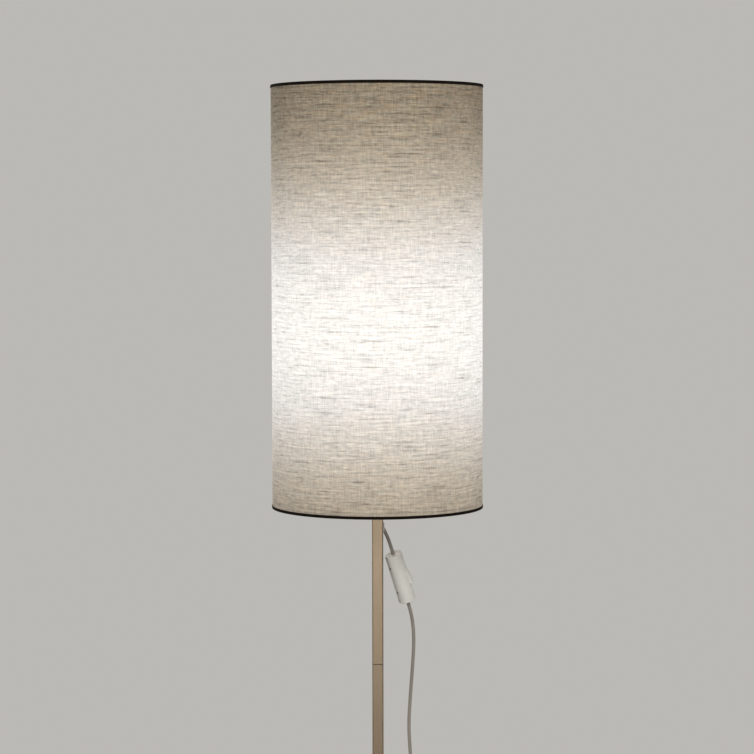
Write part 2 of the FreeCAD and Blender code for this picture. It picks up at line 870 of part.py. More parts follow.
def switch_case():
    """Whole hollow case, before it is split into its front and rear shells."""
    half = switch_length / 2
    radius = switch_diameter / 2
    outside = turned([
        (0, -half, 0), (radius, -half, switch_edge_radius), (radius, half, switch_edge_radius), (0, half, 0)])
    inside = disc(radius - switch_wall, -half + switch_end_wall, half - switch_end_wall)
    entry = disc(cord_diameter / 2 + bush_bore_gap, -half, half)
    return outside.cut([inside, entry, parting_groove()])


def parting_groove():
    """Shallow groove where the two shells meet, down both sides and across both ends."""
    x = (-switch_parting_width / 2, switch_parting_width / 2)
    y = switch_diameter / 2 - switch_parting_depth
    z = switch_length / 2 - switch_parting_depth
    beyond = rounded_box(x, (-switch_diameter, switch_diameter), (-switch_length, switch_length))
    return beyond.cut(rounded_box(x, (-y, y), (-z, z)))


def inner_skin(low, high):
    """Bar that ends just under the case's outside, for what stands on the case's inner wall."""
    return disc(switch_diameter / 2 - switch_skin, low, high)


def half_space(sign):
    size = switch_length * 2
    low = Vector(0 if sign > 0 else -size, -size / 2, -size / 2)
    return Part.makeBox(size, size, size, low)


def case_screw_places():
    return [Vector(0, side * case_screw_side, end * case_screw_offset)
            for side in (-1, 1) for end in (-1, 1)]


def screw_posts(x_low, x_high):
    """Posts for the case screws, kept inside the case's outer skin."""
    middle = Vector((x_low + x_high) / 2, 0, 0)
    posts = [across(Vector(1, 0, 0), case_screw_post_radius, place + middle, x_high - x_low)
             for place in case_screw_places()]
    skin = inner_skin(-switch_length / 2, switch_length / 2)
    return [post.common(skin) for post in posts]


def switch_front_shell():
    shell = switch_case().common(half_space(1))
    posts = screw_posts(0, switch_diameter / 2)
    half_width = rocker_width / 2 + running_gap
    reach = rocker_sweep_radius() + running_gap
    z = (pivot_height() - reach, pivot_height() + reach)
    cheek_x = (rocker_pivot_from_axis - rocker_cheek_depth, switch_diameter / 2)
    outside = half_width + rocker_cheek
    cheeks = rounded_box(cheek_x, (-outside, outside), z).common(inner_skin(*z))
    opening_x = (rocker_pivot_from_axis - rocker_opening_depth, switch_diameter)
    opening = rounded_box(opening_x, (-half_width, half_width), z)
    pin_radius = rocker_pin_diameter / 2 + pin_seat_gap
    pin_hole = across(Vector(0, 1, 0), pin_radius, pivot_point(), rocker_pin_length)
    screw_radius = case_screw_diameter / 2 + thread_gap
    pilot_end = case_screw_seat + case_screw_length + case_screw_tip_gap
    holes = [across(Vector(1, 0, 0), screw_radius, place, 2 * pilot_end)
             for place in case_screw_places()]
    return fused(shell, *posts, cheeks).cut([opening, pin_hole] + holes)


def switch_rear_shell():
    shell = switch_case().common(half_space(-1))
    posts = screw_posts(-switch_diameter / 2, 0)
    holes = [across(Vector(1, 0, 0), case_screw_diameter / 2 + slip_gap, place, switch_diameter * 2)
             for place in case_screw_places()]
    head_radius = case_screw_head_diameter / 2 + slip_gap
    sunk = Vector(case_screw_seat - switch_diameter, 0, 0)
    heads = [across(Vector(1, 0, 0), head_radius, place + sunk, 2 * switch_diameter)
             for place in case_screw_places()]
    z = (-floor_length / 2, floor_length / 2)
    floor_slab = rounded_box((-switch_diameter / 2, terminal_floor), (-floor_width / 2, floor_width / 2), z)
    floor_slab = floor_slab.common(inner_skin(*z))
    holes += heads + small_screw_holes(thread_gap)
    return fused(shell, *posts, *clamp_bosses(), floor_slab).cut(holes)


def switch_case_screws():
    seat = Vector(case_screw_seat, 0, 0)
    screws = [slotted_screw(place + seat, Vector(1, 0, 0), case_screw_head_diameter, case_screw_head_height,
                            case_screw_diameter, case_screw_length) for place in case_screw_places()]
    return Part.Compound(screws)


def switch_rocker():
    """Flat-topped paddle whose ends are arcs about its pin, crowned across like the case."""
    pivot = pivot_point()
    sweep = rocker_sweep_radius()
    crown = rocker_crown_height
    half = rocker_length / 2
    end = math.atan2(crown, half)
    low = -math.radians(rocker_under_angle)

    def on_sweep(angle, side):
        return Vector(sweep * math.sin(angle), 0, side * sweep * math.cos(angle))

    top_right, mid_right, low_right = [on_sweep(a, 1) for a in (end, (end + low) / 2, low)]
    top_left, mid_left, low_left = [on_sweep(a, -1) for a in (end, (end + low) / 2, low)]
    boss = Vector(-rocker_depth, 0, 0)
    boss_right = boss + Vector(0, 0, rocker_boss_height / 2)
    boss_left = boss - Vector(0, 0, rocker_boss_height / 2)
    edges = [
        Part.LineSegment(top_left, top_right), Part.Arc(top_right, mid_right, low_right),
        Part.LineSegment(low_right, boss_right), Part.LineSegment(boss_right, boss_left),
        Part.LineSegment(boss_left, low_left), Part.Arc(low_left, mid_left, top_left)]
    face = Part.Face(Part.Wire([edge.toShape() for edge in edges]))
    face.translate(Vector(0, -rocker_width / 2, 0))
    paddle = face.extrude(Vector(0, rocker_width, 0))
    crown_axis = Vector(crown - switch_diameter / 2, 0, 0)
    crowned = across(UP, switch_diameter / 2, crown_axis, 2 * rocker_length)
    paddle = paddle.common(crowned)
    paddle = paddle.cut(across(Vector(0, 1, 0), rocker_pin_diameter / 2 + pin_gap, ORIGIN, rocker_width * 2))
    bore_depth = rocker_depth - plunger_roof
    bore = Part.makeCylinder(plunger_diameter / 2 + thread_gap, bore_depth, boss, Vector(1, 0, 0))
    paddle = paddle.cut(bore)
    paddle.rotate(ORIGIN, Vector(0, 1, 0), rocker_rest_turn())
    paddle.translate(pivot)
    return paddle


def rocker_rest_turn():
    """Turn about the pin, from level, that lifts the rocker's lower end."""
    return -rocker_tilt


def switch_rocker_pin():
    return across(Vector(0, 1, 0), rocker_pin_diameter / 2, pivot_point(), rocker_pin_length)


def switch_plunger():
    """Round-nosed pin in the rocker's boss that presses on the contact bridge."""
    foot = -plunger_reach
    nose = plunger_diameter / 2
    top = -plunger_roof - slip_gap
    body = Part.makeCylinder(nose, top - foot - nose, Vector(foot + nose, 0, 0), Vector(1, 0, 0))
    tip = Part.makeSphere(nose, Vector(foot + nose, 0, 0))
    plunger = fused(body, tip)
    plunger.rotate(ORIGIN, Vector(0, 1, 0), rocker_rest_turn())
    plunger.translate(pivot_point())
    return plunger


def bridge_pivot():
    return Vector(bridge_pivot_from_axis, 0, pivot_height())


def bridge_sides():
    """Heights of the level bridge's two faces over its own pivot."""
    top = rocker_pivot_from_axis - plunger_reach - plunger_gap - bridge_pivot_from_axis
    return top - bridge_thickness, top


def switch_bridge():
    """Flat brass strip that rocks on a round seat in its middle, with a contact rivet at one end."""
    half = bridge_length / 2
    low, top = bridge_sides()
    strip = rounded_box((low, top), (-bridge_width / 2, bridge_width / 2), (-half, half))
    seat = across(Vector(0, 1, 0), bridge_pin_radius + pin_gap, ORIGIN, bridge_width * 2)
    strip = strip.cut(seat)
    rivet_place = Vector(low, 0, rivet_inset - half)
    rivet = Part.makeCylinder(rivet_radius, rivet_height, rivet_place, Vector(-1, 0, 0))
    bridge = fused(strip, rivet)
    bridge.rotate(ORIGIN, Vector(0, 1, 0), -rocker_rest_turn() * bridge_tilt_share)
    bridge.translate(bridge_pivot())
    return bridge


def switch_fulcrum_terminal():
    """Upright strip from the case floor that carries the bridge's round seat."""
    pivot = bridge_pivot()
    half = fulcrum_thickness / 2
    y = (-link_width / 2, link_width / 2)
    post = rounded_box((terminal_floor, pivot.x), y, (pivot.z - half, pivot.z + half))
    seat = across(Vector(0, 1, 0), bridge_pin_radius, pivot, bridge_width)
    foot_end = pivot.z + terminal_foot_length
    foot = rounded_box((terminal_floor, terminal_floor + link_thickness), y, (pivot.z - half, foot_end))
    return fused(post, seat, foot).cut(small_screw_holes(thread_gap))


def switch_contact_terminal():
    """Strip under the bridge's contact end, bent up to its rivet."""
    rivet = pivot_height() - bridge_length / 2 + rivet_inset
    crest = contact_crest()
    y = (-link_width / 2, link_width / 2)
    near = rivet - contact_post_shift
    far = near - link_thickness
    post = rounded_box((terminal_floor, crest), y, (far, near))
    pad = rounded_box((crest - contact_pad_thickness, crest), y, (far, rivet + contact_pad_reach))
    foot_end = rivet - terminal_foot_length
    foot = rounded_box((terminal_floor, terminal_floor + link_thickness), y, (foot_end, near))
    return fused(post, pad, foot).cut(small_screw_holes(thread_gap))


def contact_crest():
    """Height of the fixed contact, a running gap under the rivet where it comes lowest."""
    tilt = math.radians(rocker_tilt * bridge_tilt_share)
    low = bridge_sides()[0] - rivet_height
    reach = bridge_length / 2 - rivet_inset + rivet_radius
    return bridge_pivot_from_axis + low * math.cos(tilt) - reach * math.sin(tilt) - running_gap


def switch_neutral_link():
    """Bar beside the contacts that joins the two cords' neutral wires."""
    side = (neutral_link_offset - neutral_link_width / 2, neutral_link_offset + neutral_link_width / 2)
    half = neutral_link_length / 2
    link = rounded_box((terminal_floor, terminal_floor + neutral_link_thickness), side, (-half, half))
    return link.cut(small_screw_holes(thread_gap))


def terminal_screw_places():
    """Foot of each terminal screw's head: on the two contact strips and near the link's two ends."""
    strip = terminal_floor + link_thickness
    link = terminal_floor + neutral_link_thickness
    link_end = neutral_link_length / 2 - small_screw_head_diameter
    return [
        Vector(strip, 0, pivot_height() + fulcrum_screw_reach),
        Vector(strip, 0, pivot_height() - bridge_length / 2 - contact_screw_reach),
        Vector(link, neutral_link_offset, link_end), Vector(link, neutral_link_offset, -link_end)]


def clamp_middle(end):
    return end * (switch_length / 2 - switch_end_wall - slip_gap - clamp_length / 2)


def clamp_screw_places():
    return [Vector(clamp_height, side * clamp_screw_offset, clamp_middle(end))
            for end in (-1, 1) for side in (-1, 1)]


def small_screw_reach(place):
    """How far a small screw goes in: a grip past the strip, link or saddle that it holds."""
    seat = terminal_floor if place.x < 0 else 0
    return place.x - seat + small_screw_grip


def small_screw_holes(gap):
    radius = small_screw_diameter / 2 + gap
    return [Part.makeCylinder(radius, small_screw_reach(place), place, Vector(-1, 0, 0))
            for place in terminal_screw_places() + clamp_screw_places()]


def switch_small_screws():
    """Slotted screws that hold the wires on the strips and the link, and the saddles on their bosses."""
    screws = [slotted_screw(place, Vector(-1, 0, 0), small_screw_head_diameter, small_screw_head_height,
                            small_screw_diameter, small_screw_reach(place))
              for place in terminal_screw_places() + clamp_screw_places()]
    return Part.Compound(screws)


def switch_cord_clamps():
    """Saddle over each cord, just inside the case's end walls, on two bosses of the rear shell."""
    saddles = []
    for end in (-1, 1):
        z = (clamp_middle(end) - clamp_length / 2, clamp_middle(end) + clamp_length / 2)
        saddle = rounded_box((0, clamp_height), (-clamp_width / 2, clamp_width / 2), z)
        saddle = saddle.cut(across(UP, cord_diameter / 2 + slip_gap, ORIGIN, switch_length))
        saddles.append(saddle.cut(small_screw_holes(thread_gap)))
    return Part.Compound(saddles)


def clamp_bosses():
    """Bosses of the rear shell, one each side of each cord, that the saddles are screwed to."""
    skin = inner_skin(-switch_length / 2, switch_length / 2)
    inner = cord_diameter / 2 + slip_gap + running_gap
    bosses = []
    for end in (-1, 1):
        z = (clamp_middle(end) - clamp_length / 2, clamp_middle(end) + clamp_length / 2)
        for y in ((-clamp_width / 2, -inner), (inner, clamp_width / 2)):
            bosses.append(rounded_box((-switch_diameter / 2, 0), y, z).common(skin))
    return bosses


# Coil, tie and plug

def half_turn(here, heading, inward, radius):
    """Flat half circle from a point; returns its edge and where it ends."""
    middle = here + inward * radius + heading * radius
    end = here + inward * (2 * radius)
    return Part.Arc(here, middle, end).toShape(), end


def tangent_arc(start, heading, end):
    """Arc that leaves a point along a heading and ends at another; returns its edge and last heading."""
    chord = end - start
    along = Vector(chord).normalize()
    last = along * (2 * heading.dot(along)) - heading
    outward = (heading - last).normalize()
    bulge = chord.Length / 2 * math.tan(heading.getAngle(last) / 4)
    return Part.Arc(start, (start + end) * 0.5 + outward * bulge, end).toShape(), last


def coil_route():
    """Edges of the coil: it spirals in on the floor, climbs in one half turn, and spirals out on top."""
    heading = Vector(0, 1, 0)
    inward = Vector(-1, 0, 0)
    here = coil_start + heading * cord_diameter
    edges = [Part.LineSegment(coil_start, here).toShape()]
    left_ends = []
    halves = 2 * coil_turns_in_layer
    radii_in = [coil_outer_radius - coil_pitch / 2 * k for k in range(halves)]
    for radius in radii_in:
        edge, here = half_turn(here, heading, inward, radius)
        edges.append(edge)
        left_ends.append(here)
        heading, inward = heading * -1, inward * -1
    climb_radius = coil_outer_radius - coil_pitch / 2 * halves
    top = here + inward * (2 * climb_radius) + Vector(0, 0, coil_pitch)
    crest = (here + top) * 0.5 + heading * ((top - here).Length / 2)
    first, slope = tangent_arc(here, heading, crest)
    second = tangent_arc(crest, slope, top)[0]
    edges += [first, second]
    here = top
    left_ends.append(here)
    heading, inward = heading * -1, inward * -1
    for radius in reversed(radii_in[1:]):
        edge, here = half_turn(here, heading, inward, radius)
        edges.append(edge)
        left_ends.append(here)
        heading, inward = heading * -1, inward * -1
    tail = Rotation(UP, -coil_tail_turn)
    last_heading = tail.multVec(heading)
    centre = here - inward * coil_tail_radius
    half_way = centre + Rotation(UP, -coil_tail_turn / 2).multVec(inward * coil_tail_radius)
    bent = centre + tail.multVec(inward * coil_tail_radius)
    end = bent + last_heading * cord_diameter
    edges += [Part.Arc(here, half_way, bent).toShape(), Part.LineSegment(bent, end).toShape()]
    return edges, left_ends, end


def least_gap(wire):
    """Least gap between stretches of the wound cord that are over four diameters apart along it."""
    count = 1500
    points = wire.discretize(Number=count)
    step = wire.Length / (count - 1)
    apart = int(4 * cord_diameter / step)
    least = min(points[i].distanceToPoint(points[j])
                for i in range(0, count, 3) for j in range(i + apart, count))
    return least - cord_diameter


def cord_coil():
    """One unbroken tube of many-sided section with the area of the round cord."""
    edges = coil_route()[0]
    wire = Part.Wire(edges)
    half_side = math.pi / cord_facets
    section = math.pi * cord_diameter ** 2 / 4
    reach = math.sqrt(section / (cord_facets / 2 * math.sin(2 * half_side)))
    angles = [half_side * (2 * k + 1) for k in range(cord_facets + 1)]
    corners = [coil_start + Vector(reach * math.cos(angle), 0, reach * math.sin(angle)) for angle in angles]
    tube = wire.makePipeShell([Part.Wire(Part.makePolygon(corners).Edges)], True, False)
    wanted = section * wire.Length
    print("cord_coil length", round(wire.Length, 1), "volume share", round(tube.Volume / wanted, 4))
    print("cord_coil least gap to itself", round(least_gap(wire), 2))
    return tube


def coil_tie():
    """Band round all the turns, on the coil's -X side."""
    ends = coil_route()[1]
    left = [point.x for point in ends if point.x < coil_start.x - coil_outer_radius]
    reach = cord_diameter / 2 + tie_gap
    low_x, high_x = min(left) - reach, max(left) + reach
    low_z = coil_start.z - cord_diameter / 2 - tie_gap_below
    high_z = coil_start.z + coil_pitch + reach
    wall = tie_thickness
    hole = tie_bar((low_x, high_x), (low_z, high_z), tie_corner_radius)
    bar = tie_bar((low_x - wall, high_x + wall), (low_z - wall, high_z + wall), tie_corner_radius + wall)
    return bar.cut(hole)


def tie_bar(x, z, corner):
    """Bar as wide as the tie, across the turns, with its four long edges rounded."""
    near = coil_start.y + cord_diameter - tie_width / 2
    corners = [(x[0], z[0], corner), (x[1], z[0], corner), (x[1], z[1], corner), (x[0], z[1], corner)]
    face = Part.Face(rounded_wire(corners, lambda a, b: Vector(a, near, b)))
    return face.extrude(Vector(0, tie_width, 0))


# Plug. Its own frame: +Y along the cord's end, origin on the floor under that end.

def plug_placed(solid):
    """A plug piece, turned and moved from its own frame to the end of the coil."""
    end = coil_route()[2]
    solid.rotate(ORIGIN, UP, -coil_tail_turn)
    solid.translate(Vector(end.x, end.y, 0))
    return solid


def plug_relief():
    """Ribbed taper that droops from the coil's top layer to the plug's middle height."""
    cord_height = coil_start.z + coil_pitch
    stations = 4 * relief_ribs + 1
    circles = []
    for index in range(stations + 1):
        share = index / stations
        droop = (1 - math.cos(math.pi * share)) / 2
        height = cord_height + (plug_thickness / 2 - cord_height) * droop
        radius = relief_thin_radius + (relief_thick_radius - relief_thin_radius) * share
        if index % 4 in (2, 3) and index < stations - 1:
            radius -= relief_groove
        middle = Vector(0, relief_length * share, height)
        circles.append(Part.Wire([Part.Circle(middle, Vector(0, 1, 0), radius).toShape()]))
    return plug_placed(Part.makeLoft(circles, True, True))


def plug_section(y, width, thickness, flat):
    """Six-sided outline of the plug, pointed at its sides, at a place along it."""
    half = thickness / 2
    middle = plug_thickness / 2
    points = [(-width / 2, 0), (-flat / 2, -half), (flat / 2, -half), (width / 2, 0), (flat / 2, half),
              (-flat / 2, half), (-width / 2, 0)]
    return Part.Wire(Part.makePolygon([Vector(x, y, middle + z) for x, z in points]).Edges)


def plug_body():
    start = relief_length
    share = plug_width / plug_flat_width
    waist = plug_shoulder_share
    sections = [
        plug_section(start, plug_neck_flat * share, plug_neck_thickness, plug_neck_flat),
        plug_section(start + plug_shoulder, plug_width * waist, plug_thickness, plug_flat_width * waist),
        plug_section(start + plug_length_along, plug_width, plug_thickness, plug_flat_width)]
    return plug_placed(Part.makeLoft(sections, True, True))


def plug_pins():
    face = relief_length + plug_length_along
    pins = []
    for side in (-1, 1):
        foot = Vector(side * plug_pin_spacing / 2, face, plug_thickness / 2)
        pin = Part.makeCylinder(plug_pin_diameter / 2, plug_pin_length, foot, Vector(0, 1, 0))
        tip = [edge for edge in pin.Edges if edge.BoundBox.YMin > face + plug_pin_length - 1e-6]
        pins.append(pin.makeFillet(plug_pin_tip_radius, tip))
    return plug_placed(Part.Compound(pins))


# Every node, in the order that the lamp is put together

def cord(name, route):
    return round_tube(route_wire(route, name), cord_diameter, name)


def build():
    nodes = {
        "base_plate": base_plate(),
        "base_felt_ring": base_felt_ring(),
        "base_washer": base_washer(),
        "base_bolt": base_bolt(),
        "stem_lower_tube": stem_tube(base_top, False, True),
        "stem_middle_tube": stem_tube(lower_joint, True, True),
        "stem_upper_tube": stem_upper_tube(),
        "stem_foot_plug": stem_insert(base_top, base_bolt_diameter / 2 + thread_gap),
        "stem_top_plug": stem_top_plug(),
        "holder_nipple": holder_nipple(),
        "holder_locknut": holder_locknut(),
        "holder_cap": holder_cap(),
        "holder_skirt": holder_skirt(),
        "shade_ring_nut": shade_ring_nut(),
        "holder_core": holder_core(),
        "holder_screw_shell": holder_screw_shell(),
        "holder_centre_contact": holder_centre_contact(),
        "holder_terminals": holder_terminals(),
        "holder_terminal_screws": holder_terminal_screws(),
        "bulb_globe": bulb_globe(),
        "bulb_collar": bulb_collar(),
        "bulb_screw_cap": bulb_screw_cap(),
        "bulb_insulator": bulb_insulator(),
        "bulb_tip_contact": bulb_tip_contact(),
        "shade_fabric": shade_fabric(),
        "shade_liner": shade_liner(),
        "shade_spider": shade_spider(),
        "cord_bush": cord_bush(),
        "inner_lead": cord("inner_lead", inner_lead_route()),
        "cord_upper": cord("cord_upper", cord_upper_route()),
        "cord_lower": cord("cord_lower", cord_lower_route()),
        "cord_coil": cord_coil(),
        "coil_tie": coil_tie(),
        "plug_relief": plug_relief(),
        "plug_body": plug_body(),
        "plug_pins": plug_pins(),
    }
    for name, height in (("lower", lower_joint), ("upper", upper_joint)):
        nodes[name + "_joint_bottom_plug"] = joint_insert(height - plug_length)
        nodes[name + "_joint_stud"] = joint_stud(height)
        nodes[name + "_joint_top_plug"] = joint_insert(height)
    for name, edge, inward in (("top", shade_top, -1), ("bottom", shade_foot, 1)):
        nodes["shade_" + name + "_wire"] = shade_edge_wire(edge, inward)
        nodes["shade_" + name + "_trim"] = shade_edge_trim(edge, inward)
    switch_pieces = (
        switch_front_shell, switch_rear_shell, switch_rocker, switch_rocker_pin, switch_plunger,
        switch_bridge, switch_fulcrum_terminal, switch_contact_terminal, switch_neutral_link,
        switch_small_screws, switch_case_screws, switch_cord_clamps)
    for piece in switch_pieces:
        nodes[piece.__name__] = placed(piece())
    return nodes


os.makedirs("parts", exist_ok=True)
for node, shape in build().items():
    shape.exportStep("parts/" + node + ".step")
    print(node, len(shape.Solids), "valid" if shape.isValid() else "INVALID", round(shape.Volume))
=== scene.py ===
import json
from math import atan2, cos, pi, radians, sin, sqrt, tan, tau

import bmesh
import bpy
import numpy as np
from bpy.props import FloatProperty, FloatVectorProperty, IntProperty, PointerProperty
from mathutils import Matrix, Vector


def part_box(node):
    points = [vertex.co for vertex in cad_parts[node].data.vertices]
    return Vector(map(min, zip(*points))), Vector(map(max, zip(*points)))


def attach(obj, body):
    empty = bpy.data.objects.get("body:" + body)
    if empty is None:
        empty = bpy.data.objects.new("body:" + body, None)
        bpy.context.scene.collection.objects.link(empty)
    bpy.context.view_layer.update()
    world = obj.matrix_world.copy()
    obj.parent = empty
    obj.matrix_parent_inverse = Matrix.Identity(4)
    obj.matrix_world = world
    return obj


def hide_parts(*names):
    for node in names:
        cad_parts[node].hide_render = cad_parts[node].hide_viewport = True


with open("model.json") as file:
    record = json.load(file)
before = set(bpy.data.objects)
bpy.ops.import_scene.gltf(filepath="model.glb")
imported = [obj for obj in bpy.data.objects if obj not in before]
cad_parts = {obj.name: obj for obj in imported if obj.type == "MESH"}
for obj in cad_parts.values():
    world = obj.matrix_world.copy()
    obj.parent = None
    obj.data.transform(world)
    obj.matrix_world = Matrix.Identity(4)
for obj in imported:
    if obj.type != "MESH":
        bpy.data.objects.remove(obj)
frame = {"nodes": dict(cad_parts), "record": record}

bl_info = {
    "name": "Column floor lamp",
    "version": (1, 0, 0),
    "blender": (4, 5, 0),
    "location": "3D View > Sidebar > Lamp",
    "description": "Dresses the packed parts of a column floor lamp with a linen drum shade",
    "category": "Object",
}

# All lengths are metres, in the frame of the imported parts: Z up, the front faces -Y.

SLOT_OF = {part["node"]: part["material_slot"] for part in frame["record"]["subparts"]}

LINEN_LOW, LINEN_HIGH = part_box("shade_fabric")
LINER_LOW, LINER_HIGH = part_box("shade_liner")
GLOBE_LOW, GLOBE_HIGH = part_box("bulb_globe")
CAP_LOW, CAP_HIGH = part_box("bulb_screw_cap")
SKIRT_LOW, SKIRT_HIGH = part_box("holder_skirt")
FELT_LOW, FELT_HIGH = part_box("base_felt_ring")
BULB_MIDDLE = GLOBE_HIGH.z - GLOBE_HIGH.x
CAP_THREAD_DEPTH, CAP_THREAD_PITCH = 0.0009, 0.0254 / 7


# Settings that a user would change

def colour(name, description, default):
    return FloatVectorProperty(name=name, description=description, default=default, subtype="COLOR",
                               size=3, min=0.0, max=1.0)


def length(name, description, default):
    return FloatProperty(name=name, description=description, default=default, unit="LENGTH", precision=5)


class LampFinishSettings(bpy.types.PropertyGroup):
    """Colours of the lamp's finishes."""

    metal: colour("Column metal", "Satin metal of the column and the base", (0.232, 0.178, 0.123))
    white_plastic: colour("White plastic", "Mouldings of the holder, the bush and the switch",
                          (0.60, 0.585, 0.54))
    linen: colour("Linen", "Natural linen, as it looks unlit", (0.200, 0.160, 0.116))
    slub: colour("Slub", "Thick dark stretches of the linen's threads", (0.085, 0.060, 0.034))
    trim: colour("Trim", "Woven tape on the shade's edges", (0.0045, 0.0022, 0.0008))
    sheath: colour("Cord sheath", "Soft sheath of the cord", (0.25, 0.222, 0.19))
    enamel: colour("Enamel", "Enamel of the shade's wires", (0.72, 0.71, 0.68))


class LampShadeSettings(bpy.types.PropertyGroup):
    """Sizes of the linen and of its glow."""

    thread_pitch: length("Thread pitch", "Distance between the linen's threads", 0.00055)
    thickness: length("Linen thickness", "Thickness of the linen", 0.0005)
    overlap: length("Seam overlap", "How far the linen's end lies over its start, at the back", 0.012)
    tape_height: length("Tape height", "Height of the tape on the outside of the shade", 0.0042)
    glow: FloatProperty(name="Glow", description="Light that comes through the linen beside the bulb",
                        default=0.81)
    glow_height: length("Glow height", "Height of the brightest place above the floor", 1.256)
    glow_reach: length("Glow reach", "Height over which the glow falls off", 0.153)


class LampCordSettings(bpy.types.PropertyGroup):
    """Sizes of the cord and of the coil of its put-away length."""

    diameter: length("Diameter", "Diameter of the cord", 0.005)
    coil_radius: length("Coil radius", "Radius of the coil's outer turn, to the cord's middle", 0.0343)
    coil_pitch: length("Coil pitch", "Distance between neighbouring turns", 0.0056)
    coil_turns: IntProperty(name="Turns in a layer", description="Turns in each of the coil's two layers",
                            default=3)
    tail_radius: length("Tail radius", "Radius of the bend from the coil to the plug", 0.032)
    tail_turn: FloatProperty(name="Tail turn", description="Turn of the bend from the coil to the plug",
                             default=radians(28.0), subtype="ANGLE")


class LampStageSettings(bpy.types.PropertyGroup):
    """Floor, light and camera."""

    backdrop: colour("Backdrop", "Pale floor and background", (0.50, 0.487, 0.463))
    surround: FloatProperty(name="Surround", description="Strength of the even light from all round",
                            default=0.26)
    key: FloatProperty(name="Key light", description="Power of the light beside the camera", default=105.0,
                       unit="POWER")
    fill: FloatProperty(name="Fill light", description="Power of the light across from it", default=30.0,
                        unit="POWER")
    back: FloatProperty(name="Back light", description="Power of the light behind the lamp", default=60.0,
                        unit="POWER")
    low: FloatProperty(name="Low light", description="Power of the low light that the column mirrors",
                       default=6.0, unit="POWER")
    distance: length("Camera distance", "Distance of the camera in front of the column", 3.5948)
    aside: length("Camera aside", "How far the camera stands to the column's right", -0.0004)
    height: length("Camera height", "Height of the camera above the floor", 1.4230)
    lens: FloatProperty(name="Focal length", description="Focal length of the camera, in mm", default=120.72)
    pitch: FloatProperty(name="Camera pitch", description="How far the camera looks down",
                         default=radians(3.768), subtype="ANGLE")
    roll: FloatProperty(name="Camera roll", description="How far the camera leans", default=radians(-0.12),
                        subtype="ANGLE")


# Meshes

SHARPEST_CURVE = radians(40.0)


def surface(name, points, wrap=(False, False), uv_size=None):
    """Mesh of a grid of points; a wrapped direction joins its last line of points to its first.

    uv_size = (length along the rows, length along the columns) lays a UV map in metres over it.
    """
    rows, columns = points.shape[:2]
    a, b = np.meshgrid(np.arange(rows - 1 + wrap[0]), np.arange(columns - 1 + wrap[1]), indexing="ij")
    a, b = a.ravel(), b.ravel()
    corner_a = np.stack([a, a + 1, a + 1, a], 1)
    corner_b = np.stack([b, b, b + 1, b + 1], 1)
    faces = (corner_a % rows) * columns + corner_b % columns
    mesh = bpy.data.meshes.new(name)
    mesh.from_pydata(points.reshape(-1, 3), [], faces)
    if uv_size is not None:
        steps = np.array([rows - 1 + wrap[0], columns - 1 + wrap[1]], float)
        uv = np.stack([corner_a, corner_b], -1) / steps * np.array(uv_size)
        mesh.uv_layers.new(name="Cloth").data.foreach_set("uv", uv.astype(np.float32).ravel())
    return finished(name, mesh)


def finished(name, mesh):
    """Object of a mesh whose doubles are merged, whose faces point outwards and whose curves are smooth."""
    work = bmesh.new()
    work.from_mesh(mesh)
    bmesh.ops.remove_doubles(work, verts=work.verts, dist=1e-7)
    bmesh.ops.recalc_face_normals(work, faces=work.faces)
    work.to_mesh(mesh)
    work.free()
    mesh.shade_smooth()
    mesh.set_sharp_from_angle(angle=SHARPEST_CURVE)
    piece = bpy.data.objects.new(name, mesh)
    bpy.context.scene.collection.objects.link(piece)
    return piece


def outline(corners, steps=6):
    """Closed outline through corners (radius from Z, height, corner radius).

    A corner with a radius r becomes an arc that touches both its sides, at r tan(turn / 2) from it:
    its points are centre + r (cos t, sin t) for even steps of t between the two tangent points.
    """
    places = np.array([corner[:2] for corner in corners], float)
    stretches = []
    for index, (_, _, radius) in enumerate(corners):
        here = places[index]
        arriving = here - places[index - 1]
        leaving = places[(index + 1) % len(corners)] - here
        arriving /= np.linalg.norm(arriving)
        leaving /= np.linalg.norm(leaving)
        turn = atan2(arriving[0] * leaving[1] - arriving[1] * leaving[0], arriving @ leaving)
        if radius == 0 or abs(turn) < 1e-6:
            stretches.append(here[None, :])
            continue
        side = np.sign(turn)
        start = here - arriving * radius * tan(abs(turn) / 2)
        centre = start + side * radius * np.array([-arriving[1], arriving[0]])
        first = atan2(*(start - centre)[::-1])
        t = first + turn * np.linspace(0, 1, steps + 1)
        stretches.append(centre + radius * np.stack([np.cos(t), np.sin(t)], 1))
    return np.concatenate(stretches)


def turned(name, profile, turns=128, relief=None):
    """Profile of (radius, height) carried round Z: x = r cos a, y = r sin a.

    relief(a, r, z) gives what is added to the radius at each point.
    """
    angle = np.linspace(0, tau, turns, endpoint=False)[:, None]
    radius = np.broadcast_to(profile[:, 0], (turns, len(profile)))
    height = np.broadcast_to(profile[:, 1], (turns, len(profile)))
    if relief is not None:
        radius = radius + relief(angle, radius, height)
    points = np.stack([radius * np.cos(angle), radius * np.sin(angle), height], -1)
    return surface(name, points, wrap=(True, True))


def eased(value, low, high):
    """0 below low, 1 above high, and 3 t^2 - 2 t^3 in between."""
    t = np.clip((value - low) / (high - low), 0, 1)
    return t * t * (3 - 2 * t)


def thread_relief(depth, pitch, low, high):
    """Helical groove: depth times (1 - cos(2 pi z / pitch - a)) / 2 cut inwards between two heights."""
    def relief(angle, radius, height):
        groove = (1 - np.cos(tau * height / pitch - angle)) / 2
        run = eased(height, low, low + pitch / 2) * (1 - eased(height, high - pitch / 2, high))
        outside = radius > radius.max() - depth / 2
        return -depth * groove * run * outside
    return relief


